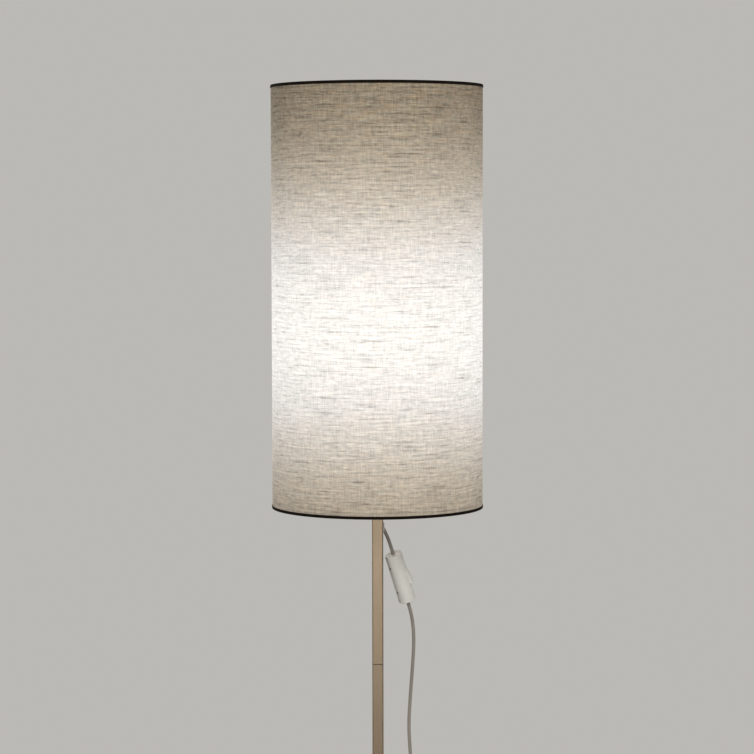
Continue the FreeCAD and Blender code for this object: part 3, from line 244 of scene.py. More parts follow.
def add_steps(profile, low, high, step):
    """The profile with even steps put into its straight stretch between two heights."""
    stretches = []
    for here, there in zip(profile, np.roll(profile, -1, axis=0)):
        upright = abs(here[0] - there[0]) < 1e-6
        inside = min(here[1], there[1]) <= low + 1e-4 and max(here[1], there[1]) >= high - 1e-4
        count = int(abs(there[1] - here[1]) / step) if upright and inside else 1
        stretches.append(here + (there - here) * np.linspace(0, 1, max(count, 1), endpoint=False)[:, None])
    return np.concatenate(stretches)


# Materials

class Finish:
    """A material in the making: its shader, and short calls that add nodes and join them."""

    def __init__(self, name, base_colour, roughness, **sockets):
        self.material = bpy.data.materials.new("finish_" + name)
        self.material.use_nodes = True
        self.nodes = self.material.node_tree.nodes
        self.shader = self.nodes["Principled BSDF"]
        self.set("Base Color", (*base_colour, 1.0))
        self.set("Roughness", roughness)
        for socket, value in sockets.items():
            self.set(socket.replace("_", " ").title().replace("Ior", "IOR"), value)

    def set(self, socket, value):
        """Sets one of the shader's sockets, or joins a node's output to it."""
        self.fill(self.shader.inputs[socket], value)

    def fill(self, socket, value):
        if isinstance(value, bpy.types.NodeSocket):
            self.material.node_tree.links.new(value, socket)
        else:
            socket.default_value = value

    def add(self, kind, inputs, **settings):
        node = self.nodes.new("ShaderNode" + kind)
        for name, value in settings.items():
            setattr(node, name, value)
        for name, value in inputs.items():
            self.fill(node.inputs[name], value)
        return node

    def place(self, scale, source="Object", rotation=(0, 0, 0)):
        """Coordinates times a scale, in units per metre."""
        coordinates = self.add("TexCoord", {})
        return self.add("Mapping", {"Vector": coordinates.outputs[source], "Scale": scale,
                                    "Rotation": rotation}).outputs[0]

    def noise(self, vector, detail=2.0, roughness=0.5, distortion=0.0):
        return self.add("TexNoise", {"Vector": vector, "Scale": 1.0, "Detail": detail, "Roughness": roughness,
                                     "Distortion": distortion}).outputs["Fac"]

    def maths(self, operation, first, second=0.0, third=0.0):
        return self.add("Math", {0: first, 1: second, 2: third}, operation=operation).outputs[0]

    def spread(self, value, low, high, start, end):
        """Value taken from low..high to start..end."""
        return self.add("MapRange", {"Value": value, "From Min": low, "From Max": high, "To Min": start,
                                     "To Max": end}).outputs[0]

    def mixed(self, factor, first, second):
        mix = self.add("Mix", {0: factor}, data_type="RGBA")
        self.fill(mix.inputs[6], first if isinstance(first, bpy.types.NodeSocket) else (*first, 1.0))
        self.fill(mix.inputs[7], second if isinstance(second, bpy.types.NodeSocket) else (*second, 1.0))
        return mix.outputs[2]

    def toned(self, value, low, high, rgb, darkest, lightest):
        """A colour times darkest where value is low, and times lightest where it is high."""
        return self.mixed(self.spread(value, low, high, 0, 1), tinted(rgb, darkest), tinted(rgb, lightest))

    def height(self):
        """Height above the floor, in metres."""
        coordinates = self.add("TexCoord", {})
        return self.add("SeparateXYZ", {0: coordinates.outputs["Object"]}).outputs["Z"]

    def bump(self, height, depth):
        """Relief of a height from 0 to 1 times a depth in metres."""
        relief = self.add("Bump", {"Height": height, "Distance": depth, "Strength": 1.0})
        self.set("Normal", relief.outputs[0])


def tinted(rgb, factor):
    return tuple(min(1.0, channel * factor) for channel in rgb)


def moulded(name, rgb, roughness, grain=2600.0, depth=0.00002):
    """Moulded plastic: slight mottling, a fine eroded grain and a soft gloss that varies a little."""
    finish = Finish(name, rgb, roughness)
    mottle = finish.noise(finish.place((90, 90, 90)), detail=3)
    finish.set("Base Color", finish.toned(mottle, 0.3, 0.7, rgb, 0.98, 1.02))
    fine = finish.noise(finish.place((grain, grain, grain)), detail=2)
    finish.set("Roughness", finish.spread(mottle, 0.3, 0.7, roughness * 0.88, roughness * 1.12))
    finish.bump(fine, depth)
    return finish.material


def brushed(name, rgb, roughness, stretch=(1500, 1500, 9), wear=0.12, joints=()):
    """Metal brushed along one axis: fine lines in colour, gloss and relief, with faint broad clouds."""
    finish = Finish(name, rgb, roughness, metallic=1.0)
    lines = finish.noise(finish.place(stretch), detail=4, roughness=0.65)
    clouds = finish.noise(finish.place((14, 14, 14)), detail=3)
    tone = finish.toned(lines, 0.25, 0.75, rgb, 1 - wear, 1 + wear)
    tone = finish.mixed(finish.spread(clouds, 0.35, 0.7, 0, 0.3), tone, tinted(rgb, 0.9))
    if joints:
        tone = finish.mixed(joint_shadow(finish, joints), tone, tinted(rgb, 0.12))
    finish.set("Base Color", tone)
    finish.set("Roughness", finish.spread(lines, 0.25, 0.75, roughness * 0.85, roughness * 1.2))
    finish.bump(lines, 0.00001)
    return finish.material


def joint_shadow(finish, joints, half_width=0.0006):
    """1 at the heights where two lengths of the column meet, falling to 0 over a half width."""
    height = finish.height()
    shadow = 0.0
    for joint in joints:
        away = finish.maths("ABSOLUTE", finish.maths("SUBTRACT", height, joint))
        shadow = finish.maths("ADD", finish.spread(away, half_width * 0.4, half_width, 1, 0), shadow)
    return shadow


def column_finish(name, rgb):
    """Satin metal brushed along Z, with a dark line where the column's lengths meet."""
    low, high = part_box("stem_middle_tube")
    return brushed(name, rgb, 0.29, stretch=(3600, 3600, 16), wear=0.07, joints=(low.z, high.z))


def brass_finish(name):
    """Plain brass with faint tarnish."""
    bright, dull = (0.80, 0.58, 0.26), (0.50, 0.33, 0.13)
    finish = Finish(name, bright, 0.3, metallic=1.0)
    tarnish = finish.noise(finish.place((260, 260, 260)), detail=5, roughness=0.6)
    share = finish.spread(tarnish, 0.45, 0.75, 0, 1)
    finish.set("Base Color", finish.mixed(share, bright, dull))
    finish.set("Roughness", finish.spread(tarnish, 0.3, 0.8, 0.24, 0.5))
    finish.bump(tarnish, 0.00002)
    return finish.material


def zinc_finish(name):
    """Bright zinc plate: small crystals that differ in tone and gloss."""
    finish = Finish(name, (0.60, 0.61, 0.62), 0.34, metallic=1.0)
    crystals = finish.add("TexVoronoi", {"Vector": finish.place((700, 700, 700)), "Scale": 1.0})
    share = finish.maths("FRACT", finish.maths("MULTIPLY", crystals.outputs["Distance"], 5.0))
    finish.set("Base Color", finish.mixed(share, (0.52, 0.53, 0.54), (0.68, 0.69, 0.70)))
    finish.set("Roughness", finish.spread(share, 0, 1, 0.27, 0.42))
    finish.bump(share, 0.00001)
    return finish.material


def ceramic_finish(name):
    """Unglazed ceramic: fine sandy grain and sparse darker specks."""
    finish = Finish(name, (0.78, 0.76, 0.71), 0.62)
    grain = finish.noise(finish.place((1900, 1900, 1900)), detail=3)
    specks = finish.noise(finish.place((900, 900, 900)), detail=0)
    finish.set("Base Color", finish.mixed(finish.spread(specks, 0.66, 0.72, 0, 0.6), (0.78, 0.76, 0.71),
                                          (0.42, 0.39, 0.34)))
    finish.bump(grain, 0.00006)
    return finish.material


def felt_finish(name):
    """Pressed felt: matted fibres in tone and relief."""
    finish = Finish(name, (0.030, 0.029, 0.028), 0.95, sheen_weight=0.4)
    fibres = finish.noise(finish.place((900, 900, 900)), detail=6, roughness=0.75, distortion=1.5)
    finish.set("Base Color", finish.mixed(finish.spread(fibres, 0.3, 0.7, 0, 1), (0.018, 0.018, 0.017),
                                          (0.050, 0.049, 0.047)))
    finish.bump(fibres, 0.0004)
    return finish.material


def enamel_finish(name, rgb):
    """Stove enamel on wire: smooth, with a slight orange peel."""
    finish = Finish(name, rgb, 0.35, coat_weight=0.2)
    peel = finish.noise(finish.place((420, 420, 420)), detail=2)
    finish.set("Base Color", finish.toned(peel, 0.35, 0.65, rgb, 0.96, 1.03))
    finish.bump(peel, 0.00005)
    return finish.material


def sheath_finish(name, rgb):
    """Soft cord sheath: faint clouds in its tone, fine scuffs and a dull gloss that varies with them."""
    finish = Finish(name, rgb, 0.42)
    cloud = finish.noise(finish.place((55, 55, 55)), detail=3)
    scuff = finish.noise(finish.place((1300, 1300, 260)), detail=3)
    tone = finish.toned(cloud, 0.3, 0.7, rgb, 0.9, 1.06)
    finish.set("Base Color", finish.mixed(finish.spread(scuff, 0.62, 0.74, 0, 0.3), tone, tinted(rgb, 0.7)))
    finish.set("Roughness", finish.spread(scuff, 0.3, 0.7, 0.36, 0.52))
    finish.bump(scuff, 0.00003)
    return finish.material


def glow_at_height(finish, strength, middle, reach):
    """Light from the bulb at a height z: strength exp(-((z - middle) / reach)^2 / 2)."""
    away = finish.maths("DIVIDE", finish.maths("SUBTRACT", finish.height(), middle), reach)
    fall = finish.maths("EXPONENT", finish.maths("MULTIPLY", finish.maths("MULTIPLY", away, away), -0.5))
    return finish.maths("MULTIPLY", fall, strength)


def linen_finish(name, looks, sizes):
    """Plain weave with slubs: threads in relief, dark slubs along the weft, and the bulb's glow.

    The UV map is in metres, along the weft and up the warp. The weave is |sin sin| of both places over
    the thread pitch, with a waver. How clear the cloth is at a place is the weighted sum of four noises
    about their middle, each stretched along its threads: weft bands, fine weft, warp bands and a soft
    mottle. Slubs, which lie where the first noise is lowest, and the threads' crests take from it. The
    cloth's tone follows it, and so does the glow, which is also less where the seam's two layers lie.
    """
    finish = Finish(name, looks.linen, 0.9, specular_ior_level=0.15)
    waver = finish.noise(finish.place((160, 160, 1), "UV"), detail=1)
    across = finish.add("SeparateXYZ", {0: finish.place((1, 1, 1), "UV")})
    per_thread = pi / sizes.thread_pitch
    shift = finish.maths("MULTIPLY", waver, 3.0)
    warp, weft = (finish.maths("SINE", finish.maths("MULTIPLY_ADD", across.outputs[axis], per_thread, shift))
                  for axis in "XY")
    weave = finish.maths("ABSOLUTE", finish.maths("MULTIPLY", warp, weft))
    band = finish.noise(finish.place((19, 330, 1), "UV"), detail=4, roughness=0.66)
    fine = finish.noise(finish.place((80, 1000, 1), "UV", (0, 0, 0.15)), detail=2)
    warp_band = finish.noise(finish.place((520, 48, 1), "UV"), detail=3, roughness=0.6)
    mottle = finish.noise(finish.place((125, 210, 1), "UV"), detail=2)
    slub = finish.spread(band, 0.39, 0.31, 0, 1)
    clear = 0.0
    parts = ((band, 0.5, 0.85), (fine, 0.5, 0.6), (warp_band, 0.5, 0.5), (mottle, 0.5, 0.35),
             (slub, 0.0, -0.28), (weave, 0.4, -0.22))
    for part, middle, weight in parts:
        clear = finish.maths("MULTIPLY_ADD", finish.maths("SUBTRACT", part, middle), weight, clear)
    body = finish.toned(clear, -0.3, 0.3, looks.linen, 0.2, 1.8)
    hue = finish.noise(finish.place((45, 150, 1), "UV"), detail=3)
    dyed = finish.mixed(finish.spread(hue, 0.35, 0.65, 0, 1), (1.0, 0.93, 0.80), (0.95, 1.0, 1.0))
    body = finish.add("Mix", {0: 1.0, 6: body, 7: dyed}, data_type="RGBA", blend_type="MULTIPLY").outputs[2]
    finish.set("Base Color", finish.mixed(finish.maths("MULTIPLY", slub, 0.7), body, looks.slub))
    glow = glow_at_height(finish, sizes.glow, sizes.glow_height, sizes.glow_reach)
    seam = tau * (LINEN_HIGH.x - sizes.thickness / 2)
    doubled = finish.maths("GREATER_THAN", across.outputs["X"], seam)
    let_through = finish.maths("MULTIPLY_ADD", doubled, -0.22, finish.maths("MULTIPLY_ADD", clear, 0.9, 1.0))
    finish.set("Emission Strength", finish.maths("MULTIPLY", glow, let_through))
    warmth = finish.spread(glow, 0.05, sizes.glow * 0.8, 0, 1)
    tone = finish.mixed(warmth, (1.0, 0.86, 0.66), (1.0, 0.992, 0.985))
    finish.set("Emission Color", finish.mixed(finish.maths("MULTIPLY", slub, 0.4), tone, (1.0, 0.82, 0.60)))
    relief = finish.maths("ADD", finish.maths("MULTIPLY", weave, 0.5), finish.maths("MULTIPLY", slub, 0.9))
    finish.bump(relief, 0.00022)
    return finish.material


def film_finish(name, sizes):
    """Translucent film that the linen is laminated to, lit from the bulb's side."""
    finish = Finish(name, (0.42, 0.40, 0.36), 0.5)
    cloud = finish.noise(finish.place((120, 120, 30)), detail=4)
    glow = glow_at_height(finish, sizes.glow * 0.7, sizes.glow_height, sizes.glow_reach)
    finish.set("Emission Strength", finish.maths("MULTIPLY", glow, finish.spread(cloud, 0.3, 0.7, 0.9, 1.05)))
    finish.set("Emission Color", (1.0, 0.955, 0.88, 1.0))
    finish.bump(cloud, 0.00008)
    return finish.material


def trim_finish(name, rgb):
    """Woven tape: ribs across its width, 0.9 mm apart, with painted sheen that makes their crests paler and
    painted shade between them, and a little lint.
    """
    finish = Finish(name, rgb, 0.9, specular_ior_level=0.1)
    along = finish.add("SeparateXYZ", {0: finish.place((1, 1, 1), "UV")}).outputs["X"]
    rib = finish.maths("ABSOLUTE", finish.maths("SINE", finish.maths("MULTIPLY", along, pi / 0.0009)))
    lint = finish.noise(finish.place((500, 500, 500)), detail=4, roughness=0.7)
    # Painted sheen and shade: the colour is paler on each rib's crest and darker between ribs.
    tone = finish.mixed(rib, tinted(rgb, 0.6), tinted(rgb, 1.3))
    finish.set("Base Color", finish.mixed(finish.spread(lint, 0.6, 0.8, 0, 0.3), tone, tinted(rgb, 3.0)))
    finish.bump(rib, 0.0002)
    return finish.material


def frosted_finish(name):
    """Frosted globe with the light behind it: brightest round its middle."""
    finish = Finish(name, (0.80, 0.78, 0.74), 0.32)
    frost = finish.noise(finish.place((1500, 1500, 1500)), detail=2)
    glow = glow_at_height(finish, 2.4, BULB_MIDDLE + 0.008, 0.026)
    finish.set("Emission Strength", glow)
    finish.set("Emission Color", (1.0, 0.93, 0.82, 1.0))
    finish.bump(frost, 0.00003)
    return finish.material


def cap_metal_finish(name):
    """Rolled nickel-plated cap with fine marks of rolling round it."""
    return brushed(name, (0.62, 0.61, 0.59), 0.3, stretch=(60, 60, 2600), wear=0.1)


def make_finishes(looks, sizes):
    """Every material slot of the record, and its material."""
    return {
        "satin_metal": column_finish("satin_metal", looks.metal),
        "felt": felt_finish("felt"),
        "zinc_steel": zinc_finish("zinc_steel"),
        "white_plastic": moulded("white_plastic", looks.white_plastic, 0.36),
        "holder_ceramic": ceramic_finish("holder_ceramic"),
        "brass": brass_finish("brass"),
        "bulb_glass": frosted_finish("bulb_glass"),
        "bulb_plastic": moulded("bulb_plastic", (0.74, 0.74, 0.72), 0.55),
        "bulb_cap_metal": cap_metal_finish("bulb_cap_metal"),
        "bulb_insulator_black": moulded("bulb_insulator_black", (0.012, 0.012, 0.012), 0.25),
        "linen": linen_finish("linen", looks, sizes),
        "shade_film": film_finish("shade_film", sizes),
        "white_enamel": enamel_finish("white_enamel", looks.enamel),
        "cord_sheath": sheath_finish("cord_sheath", looks.sheath),
        "tie_plastic": moulded("tie_plastic", (0.022, 0.022, 0.022), 0.6, grain=1500.0, depth=0.0001),
        "plug_plastic": moulded("plug_plastic", tinted(looks.sheath, 1.1), 0.45),
        "plug_pin_metal": brushed("plug_pin_metal", (0.68, 0.67, 0.64), 0.25, stretch=(900, 900, 900),
                                  wear=0.05),
        "dark_trim": trim_finish("dark_trim", looks.trim),
    }


def dressed(piece, body, slot, *nodes):
    """A new piece with its slot's material, on its body, in the place of CAD nodes."""
    piece.data.materials.append(bpy.data.materials["finish_" + slot])
    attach(piece, body)
    if nodes:
        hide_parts(*nodes)
    return piece


# Cords

UPPER_ROUTE = [(0.0074, 0, 0.9706), (0.013973, 0, 0.958239), (0.020124, 0.002856, 0.938994),
               (0.024476, 0.007144, 0.924206)]

LOWER_ROUTE = [
    (0.040524, 0.022956, 0.869694), (0.045149, 0.027513, 0.853982),
    (0.0506, 0.0330, 0.831), (0.0526, 0.0395, 0.799), (0.0502, 0.0465, 0.758),
    (0.0470, 0.0530, 0.714), (0.0446, 0.0580, 0.672), (0.0476, 0.0630, 0.624),
    (0.0513, 0.0680, 0.571), (0.0510, 0.0735, 0.512), (0.0546, 0.0780, 0.452),
    (0.0588, 0.0820, 0.391), (0.0596, 0.0875, 0.330), (0.0630, 0.0915, 0.269),
    (0.0674, 0.0950, 0.208), (0.0686, 0.1000, 0.150), (0.0708, 0.1040, 0.098),
    (0.0726, 0.1080, 0.060), (0.0736, 0.1125, 0.036), (0.0743, 0.1235, 0.014),
    (0.0750, 0.1450, 0.0035), (0.0750, 0.1650, 0.0035)]


def half_turn_points(centre, radius, first, low, high, steps=8):
    """Control points of a flat half turn from an angle, rising from low to high.

    An even spline touches the middle of each side of its control polygon, so the points lie at
    radius / cos(pi / (2 steps)), half a step off the angles where the line touches the circle.
    """
    share = (np.arange(steps) + 0.5) / steps
    angle = first + pi * share
    reach = radius / cos(pi / (2 * steps))
    return np.stack([centre[0] + reach * np.cos(angle), centre[1] + reach * np.sin(angle),
                     low + (high - low) * eased(share, 0, 1)], 1)


def coil_points(start, settings):
    """Half turns that shrink by half a pitch each, one that climbs a layer, and the same outwards again."""
    halves = 2 * settings.coil_turns
    inward = [settings.coil_radius - settings.coil_pitch / 2 * k for k in range(halves + 1)]
    radii = inward + inward[-2:0:-1]
    top = start[2] + settings.coil_pitch
    right = start[0]
    left = right
    points = []
    for index, radius in enumerate(radii):
        first = 0.0 if index % 2 == 0 else pi
        middle = right - radius if index % 2 == 0 else left + radius
        low = start[2] if index <= halves else top
        high = start[2] if index < halves else top
        points.append(half_turn_points((middle, start[1]), radius, first, low, high))
        if index % 2 == 0:
            left = middle - radius
        else:
            right = middle + radius
    return np.concatenate(points), np.array([right, start[1], top])


def tail_points(start, settings):
    """The bend to the right and the short straight end; returns them with the end's heading."""
    turn = settings.tail_turn
    heading = np.array([sin(turn), cos(turn), 0.0])
    reach = settings.tail_radius * tan(turn / 2)
    corner = start + np.array([0.0, reach, 0.0])
    bent = corner + heading * reach
    return np.array([corner, bent, bent + heading * settings.diameter]), heading


def cord_curve(name, points, diameter):
    """Round cord on one open spline of order 3 whose control points are the route's points."""
    curve = bpy.data.curves.new(name, "CURVE")
    curve.dimensions = "3D"
    curve.bevel_depth = diameter / 2
    curve.bevel_resolution = 5
    curve.resolution_u = 10
    curve.use_fill_caps = True
    spline = curve.splines.new("NURBS")
    spline.points.add(len(points) - 1)
    spline.points.foreach_set("co", np.column_stack([points, np.ones(len(points))]).ravel())
    spline.order_u = 3
    spline.use_endpoint_u = True
    piece = bpy.data.objects.new(name, curve)
    bpy.context.scene.collection.objects.link(piece)
    return piece


def coil_start(settings):
    return np.array([LOWER_ROUTE[-1][0], LOWER_ROUTE[-1][1] + settings.diameter, LOWER_ROUTE[-1][2]])


def plug_frame(settings):
    """Where the cord ends, and the plug's own axes: across, along its pins and up."""
    start = coil_points(coil_start(settings), settings)[1]
    tail, heading = tail_points(start, settings)
    along = np.array([*heading[:2], 0.0])
    return tail[-1], np.array([[along[1], -along[0], 0.0], along, [0.0, 0.0, 1.0]])


# Plug. Its own frame: X across, Y along the pins, Z up from the floor, from the cord's end.

PLUG_START, PLUG_LENGTH, PLUG_THICKNESS = 0.026, 0.035, 0.0137
PLUG_WIDTH, PLUG_NECK_WIDTH, PLUG_NECK_THICKNESS = 0.0353, 0.0203, 0.0118
PIN_SPACING, PIN_RADIUS, SLEEVE_LENGTH, SLEEVE_WALL = 0.019, 0.002, 0.0095, 0.0001
PLUG_EDGE, GRIP_DEPTH, GRIP_RIBS = 0.0012, 0.0006, 5


def in_plug_frame(points, settings):
    end, axes = plug_frame(settings)
    return np.array([end[0], end[1], 0.0]) + points @ axes


def plug_body(settings, rows=56, columns=72):
    """Grip of the plug: at each place along it, |x / w|^2.4 + |z / t|^3 = 1.

    w and t swell from the neck to the face, and both close in on a quarter circle at the two ends. The
    grip's ribs draw w in by depth (1 - cos(2 pi ribs s)) / 2, with s eased from 0 to 1 along the grip.
    """
    along = np.concatenate([[0.0, 0.0], np.linspace(0, 1, rows), [1.0, 1.0]])[:, None]
    half_width = (PLUG_NECK_WIDTH + (PLUG_WIDTH - PLUG_NECK_WIDTH) * eased(along, -0.1, 0.8)) / 2
    half_height = (PLUG_NECK_THICKNESS + (PLUG_THICKNESS - PLUG_NECK_THICKNESS) * eased(along, 0, 0.5)) / 2
    distance = along * PLUG_LENGTH
    near_end = np.clip(np.minimum(distance, PLUG_LENGTH - distance) / PLUG_EDGE, 0, 1)
    drawn_in = PLUG_EDGE * (1 - np.sqrt(1 - (1 - near_end) ** 2))
    grip = GRIP_DEPTH * (1 - np.cos(tau * GRIP_RIBS * eased(along, 0.12, 0.62))) / 2
    angle = np.linspace(0, tau, columns, endpoint=False)[None, :]
    x = np.sign(np.cos(angle)) * np.abs(np.cos(angle)) ** (2 / 2.4)
    z = np.sign(np.sin(angle)) * np.abs(np.sin(angle)) ** (2 / 3.0)
    closed = np.ones_like(along)
    closed[0], closed[-1] = 0.0, 0.0
    x = x * (half_width - drawn_in - grip * np.abs(np.cos(angle)) ** 4) * closed
    z = z * (half_height - drawn_in) * closed
    y = np.broadcast_to(PLUG_START + distance, x.shape)
    points = np.stack([x, y, z + PLUG_THICKNESS / 2], -1)
    return surface("plug_grip", in_plug_frame(points, settings), wrap=(False, True))


def pin_sleeves(settings):
    """Plastic sleeve on the root of each pin: a thin tube, carried round the pin's axis."""
    outer = PIN_RADIUS + SLEEVE_WALL
    tube = outline([(PIN_RADIUS, 0, 0), (outer, 0, 0), (outer, SLEEVE_LENGTH, SLEEVE_WALL * 0.8),
                    (PIN_RADIUS, SLEEVE_LENGTH, 0)])
    angle = np.linspace(0, tau, 32, endpoint=False)[:, None]
    around = np.stack([tube[:, 0] * np.cos(angle), np.broadcast_to(tube[:, 1], (32, len(tube))),
                       tube[:, 0] * np.sin(angle)], -1)
    sleeves = []
    for side in (-1, 1):
        offset = np.array([side * PIN_SPACING / 2, PLUG_START + PLUG_LENGTH, PLUG_THICKNESS / 2])
        name = "plug_sleeve_right" if side > 0 else "plug_sleeve_left"
        sleeves.append(surface(name, in_plug_frame(around + offset, settings), wrap=(True, True)))
    return sleeves


# Shade

LINEN_SAG = 0.00015
LAP_AIR = 0.00003
FILM_THICKNESS = 0.0005
TAPE_INNER_RADIUS, TAPE_INSIDE_HEIGHT = 0.14405, 0.0044
TAPE_WALL, TAPE_WIDTH, TAPE_LAP_STEP = 0.0009, 0.018, 0.0003
TAPE_LAP_TURN, TAPE_LAP_RAMP = 0.06, 0.004


def linen_sheet(sizes, columns=720, rows=48):
    """Linen rolled into a drum: r = R, and R + its thickness where its end lies over its start.

    The seam is at the back. Between the wires the cloth is drawn in by LINEN_SAG times sin(pi t).
    """
    radius = LINEN_HIGH.x - sizes.thickness / 2
    around = tau * radius + sizes.overlap
    along = np.linspace(0, around, columns)[:, None]
    up = np.linspace(0, 1, rows)[None, :]
    over = eased(along, around - sizes.overlap - 0.004, around - sizes.overlap + 0.001)
    r = radius + over * (sizes.thickness + LAP_AIR) - LINEN_SAG * np.sin(pi * up)
    angle = pi / 2 + sizes.overlap / radius / 2 + along / radius
    height = LINEN_LOW.z + (LINEN_HIGH.z - LINEN_LOW.z) * up
    points = np.stack([r * np.cos(angle), r * np.sin(angle), np.broadcast_to(height, r.shape)], -1)
    size = (around, LINEN_HIGH.z - LINEN_LOW.z)
    sheet = surface("linen_shade", points, uv_size=size)
    wall = sheet.modifiers.new("Wall", "SOLIDIFY")
    wall.thickness = sizes.thickness
    wall.offset = 0.0
    return sheet, size


def trim_band(name, node, upwards, sizes):
    """Tape folded over an edge wire: a U section carried round Z, and a step proud where its ends overlap."""
    low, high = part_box(node)
    inner, outer, wall = TAPE_INNER_RADIUS, high.x, TAPE_WALL
    edge = low.z if upwards else high.z
    way = 1 if upwards else -1
    outside = edge + way * sizes.tape_height
    inside = edge + way * TAPE_INSIDE_HEIGHT
    fold, rim, crease = 0.0007, 0.0003, 0.0002
    section = outline([
        (inner, edge, fold), (outer, edge, fold), (outer, outside, rim), (outer - wall, outside, rim),
        (outer - wall, edge + way * wall, crease), (inner + wall, edge + way * wall, crease),
        (inner + wall, inside, rim), (inner, inside, rim)], steps=4)
    turn = np.linspace(0, tau, 540, endpoint=False)[:, None]
    angle = turn + pi / 2
    lap_end = eased(turn, TAPE_LAP_TURN, TAPE_LAP_TURN + TAPE_LAP_RAMP * 1.5)
    lap = eased(turn, 0, TAPE_LAP_RAMP) * (1 - lap_end)
    over = section[:, 0] > outer - wall * 1.2
    radius = section[:, 0] - TAPE_LAP_STEP * (1 - lap) * over
    points = np.stack([radius * np.cos(angle), radius * np.sin(angle),
                       np.broadcast_to(section[:, 1], radius.shape)], -1)
    return surface(name, points, wrap=(True, True), uv_size=(tau * outer, TAPE_WIDTH))


def weld_bead(place, outward, size):
    """Small rounded bead: a ball squeezed to (size, 0.8 size, 0.6 size) with a lump or two in it."""
    across, down = np.meshgrid(np.linspace(0, tau, 20, endpoint=False), np.linspace(0, pi, 13), indexing="ij")
    lump = 1 + 0.08 * np.sin(3 * across + 1.0) * np.sin(down) ** 2
    x = size * lump * np.cos(across) * np.sin(down)
    y = 0.8 * size * lump * np.sin(across) * np.sin(down)
    z = 0.6 * size * np.cos(down)
    along = np.array([outward[0], outward[1], 0.0])
    side = np.array([-outward[1], outward[0], 0.0])
    up = np.array([0, 0, 1.0])
    return np.array(place) + x[..., None] * along + y[..., None] * side + z[..., None] * up


# Operators

class LAMP_OT_finishes(bpy.types.Operator):
    """Makes every material and gives the CAD parts theirs"""

    bl_idname = "lamp.finishes"
    bl_label = "Finishes"

    def execute(self, context):
        scene = context.scene
        finishes = make_finishes(scene.lamp_finish, scene.lamp_shade)
        for node, part in frame["nodes"].items():
            if not part.material_slots:
                raise RuntimeError(f"{node} has no material slot")
            for slot in part.material_slots:
                slot.material = finishes[SLOT_OF[node]]
        return {"FINISHED"}


class LAMP_OT_cords(bpy.types.Operator):
    """Lays the cord from the bush to the switch, and from there to its coil and plug"""

    bl_idname = "lamp.cords"
    bl_label = "Cords"

    def execute(self, context):
        settings = context.scene.lamp_cord
        upper = cord_curve("cord_to_switch", np.array(UPPER_ROUTE), settings.diameter)
        dressed(upper, "lamp", "cord_sheath", "cord_upper")
        coil, coil_end = coil_points(coil_start(settings), settings)
        tail = tail_points(coil_end, settings)[0]
        route = np.concatenate([np.array(LOWER_ROUTE), coil, tail])
        lower = cord_curve("cord_to_plug", route, settings.diameter)
        dressed(lower, "lamp", "cord_sheath", "cord_lower", "cord_coil")
        plug = dressed(plug_body(settings), "lamp", "plug_plastic", "plug_body")
        sleeves = [dressed(sleeve, "lamp", "plug_plastic") for sleeve in pin_sleeves(settings)]
        return {"FINISHED"}


class LAMP_OT_shade(bpy.types.Operator):
    """Rolls the linen, lays the film inside it and folds the tape over both edges"""

    bl_idname = "lamp.shade"
    bl_label = "Shade"

    def execute(self, context):
        sizes = context.scene.lamp_shade
        linen, size = linen_sheet(sizes)
        dressed(linen, "lamp", "linen", "shade_fabric")
        bottom = dressed(trim_band("tape_bottom", "shade_bottom_trim", True, sizes), "lamp", "dark_trim",
                         "shade_bottom_trim")
        top = dressed(trim_band("tape_top", "shade_top_trim", False, sizes), "lamp", "dark_trim",
                      "shade_top_trim")
        outer, inner = LINER_HIGH.x, LINER_HIGH.x - FILM_THICKNESS
        section = outline([(inner, LINER_LOW.z, 0), (outer, LINER_LOW.z, 0), (outer, LINER_HIGH.z, 0),
                           (inner, LINER_HIGH.z, 0)])
        dressed(turned("shade_film", section, turns=360), "lamp", "shade_film", "shade_liner")
        return {"FINISHED"}


class LAMP_OT_holder(bpy.types.Operator):
    """Cuts the thread of the lampholder's skirt, under and above the ring nut"""

    bl_idname = "lamp.holder"
    bl_label = "Lampholder"

    def execute(self, context):
        outer, inner, flange = 0.0195, 0.0175, SKIRT_HIGH.x
        foot, top = SKIRT_LOW.z, SKIRT_HIGH.z
        flange_foot, flange_top = foot + 0.002, foot + 0.005
        flange_edge, rim = 0.0006, 0.0008
        pitch, depth = 0.0025, 0.00055
        profile = outline([
            (inner, foot, 0), (outer, foot, 0), (outer, flange_foot, 0), (flange, flange_foot, flange_edge),
            (flange, flange_top, flange_edge), (outer, flange_top, 0), (outer, top, rim), (inner, top, rim)])
        profile = add_steps(profile, flange_top, top - rim, 0.0002)

        def relief(angle, radius, height):
            groove = (1 - np.cos(tau * height / pitch - angle)) / 2
            started = eased(height, foot + 0.006, foot + 0.008)
            ended = eased(height, top - 0.005, top - 0.003)
            outside = (radius > outer - 1e-5) & (radius < outer + 1e-5)
            return -depth * groove * (started * (1 - ended)) * outside

        skirt = turned("threaded_skirt", profile, turns=160, relief=relief)
        dressed(skirt, "lamp", "white_plastic", "holder_skirt")
        return {"FINISHED"}


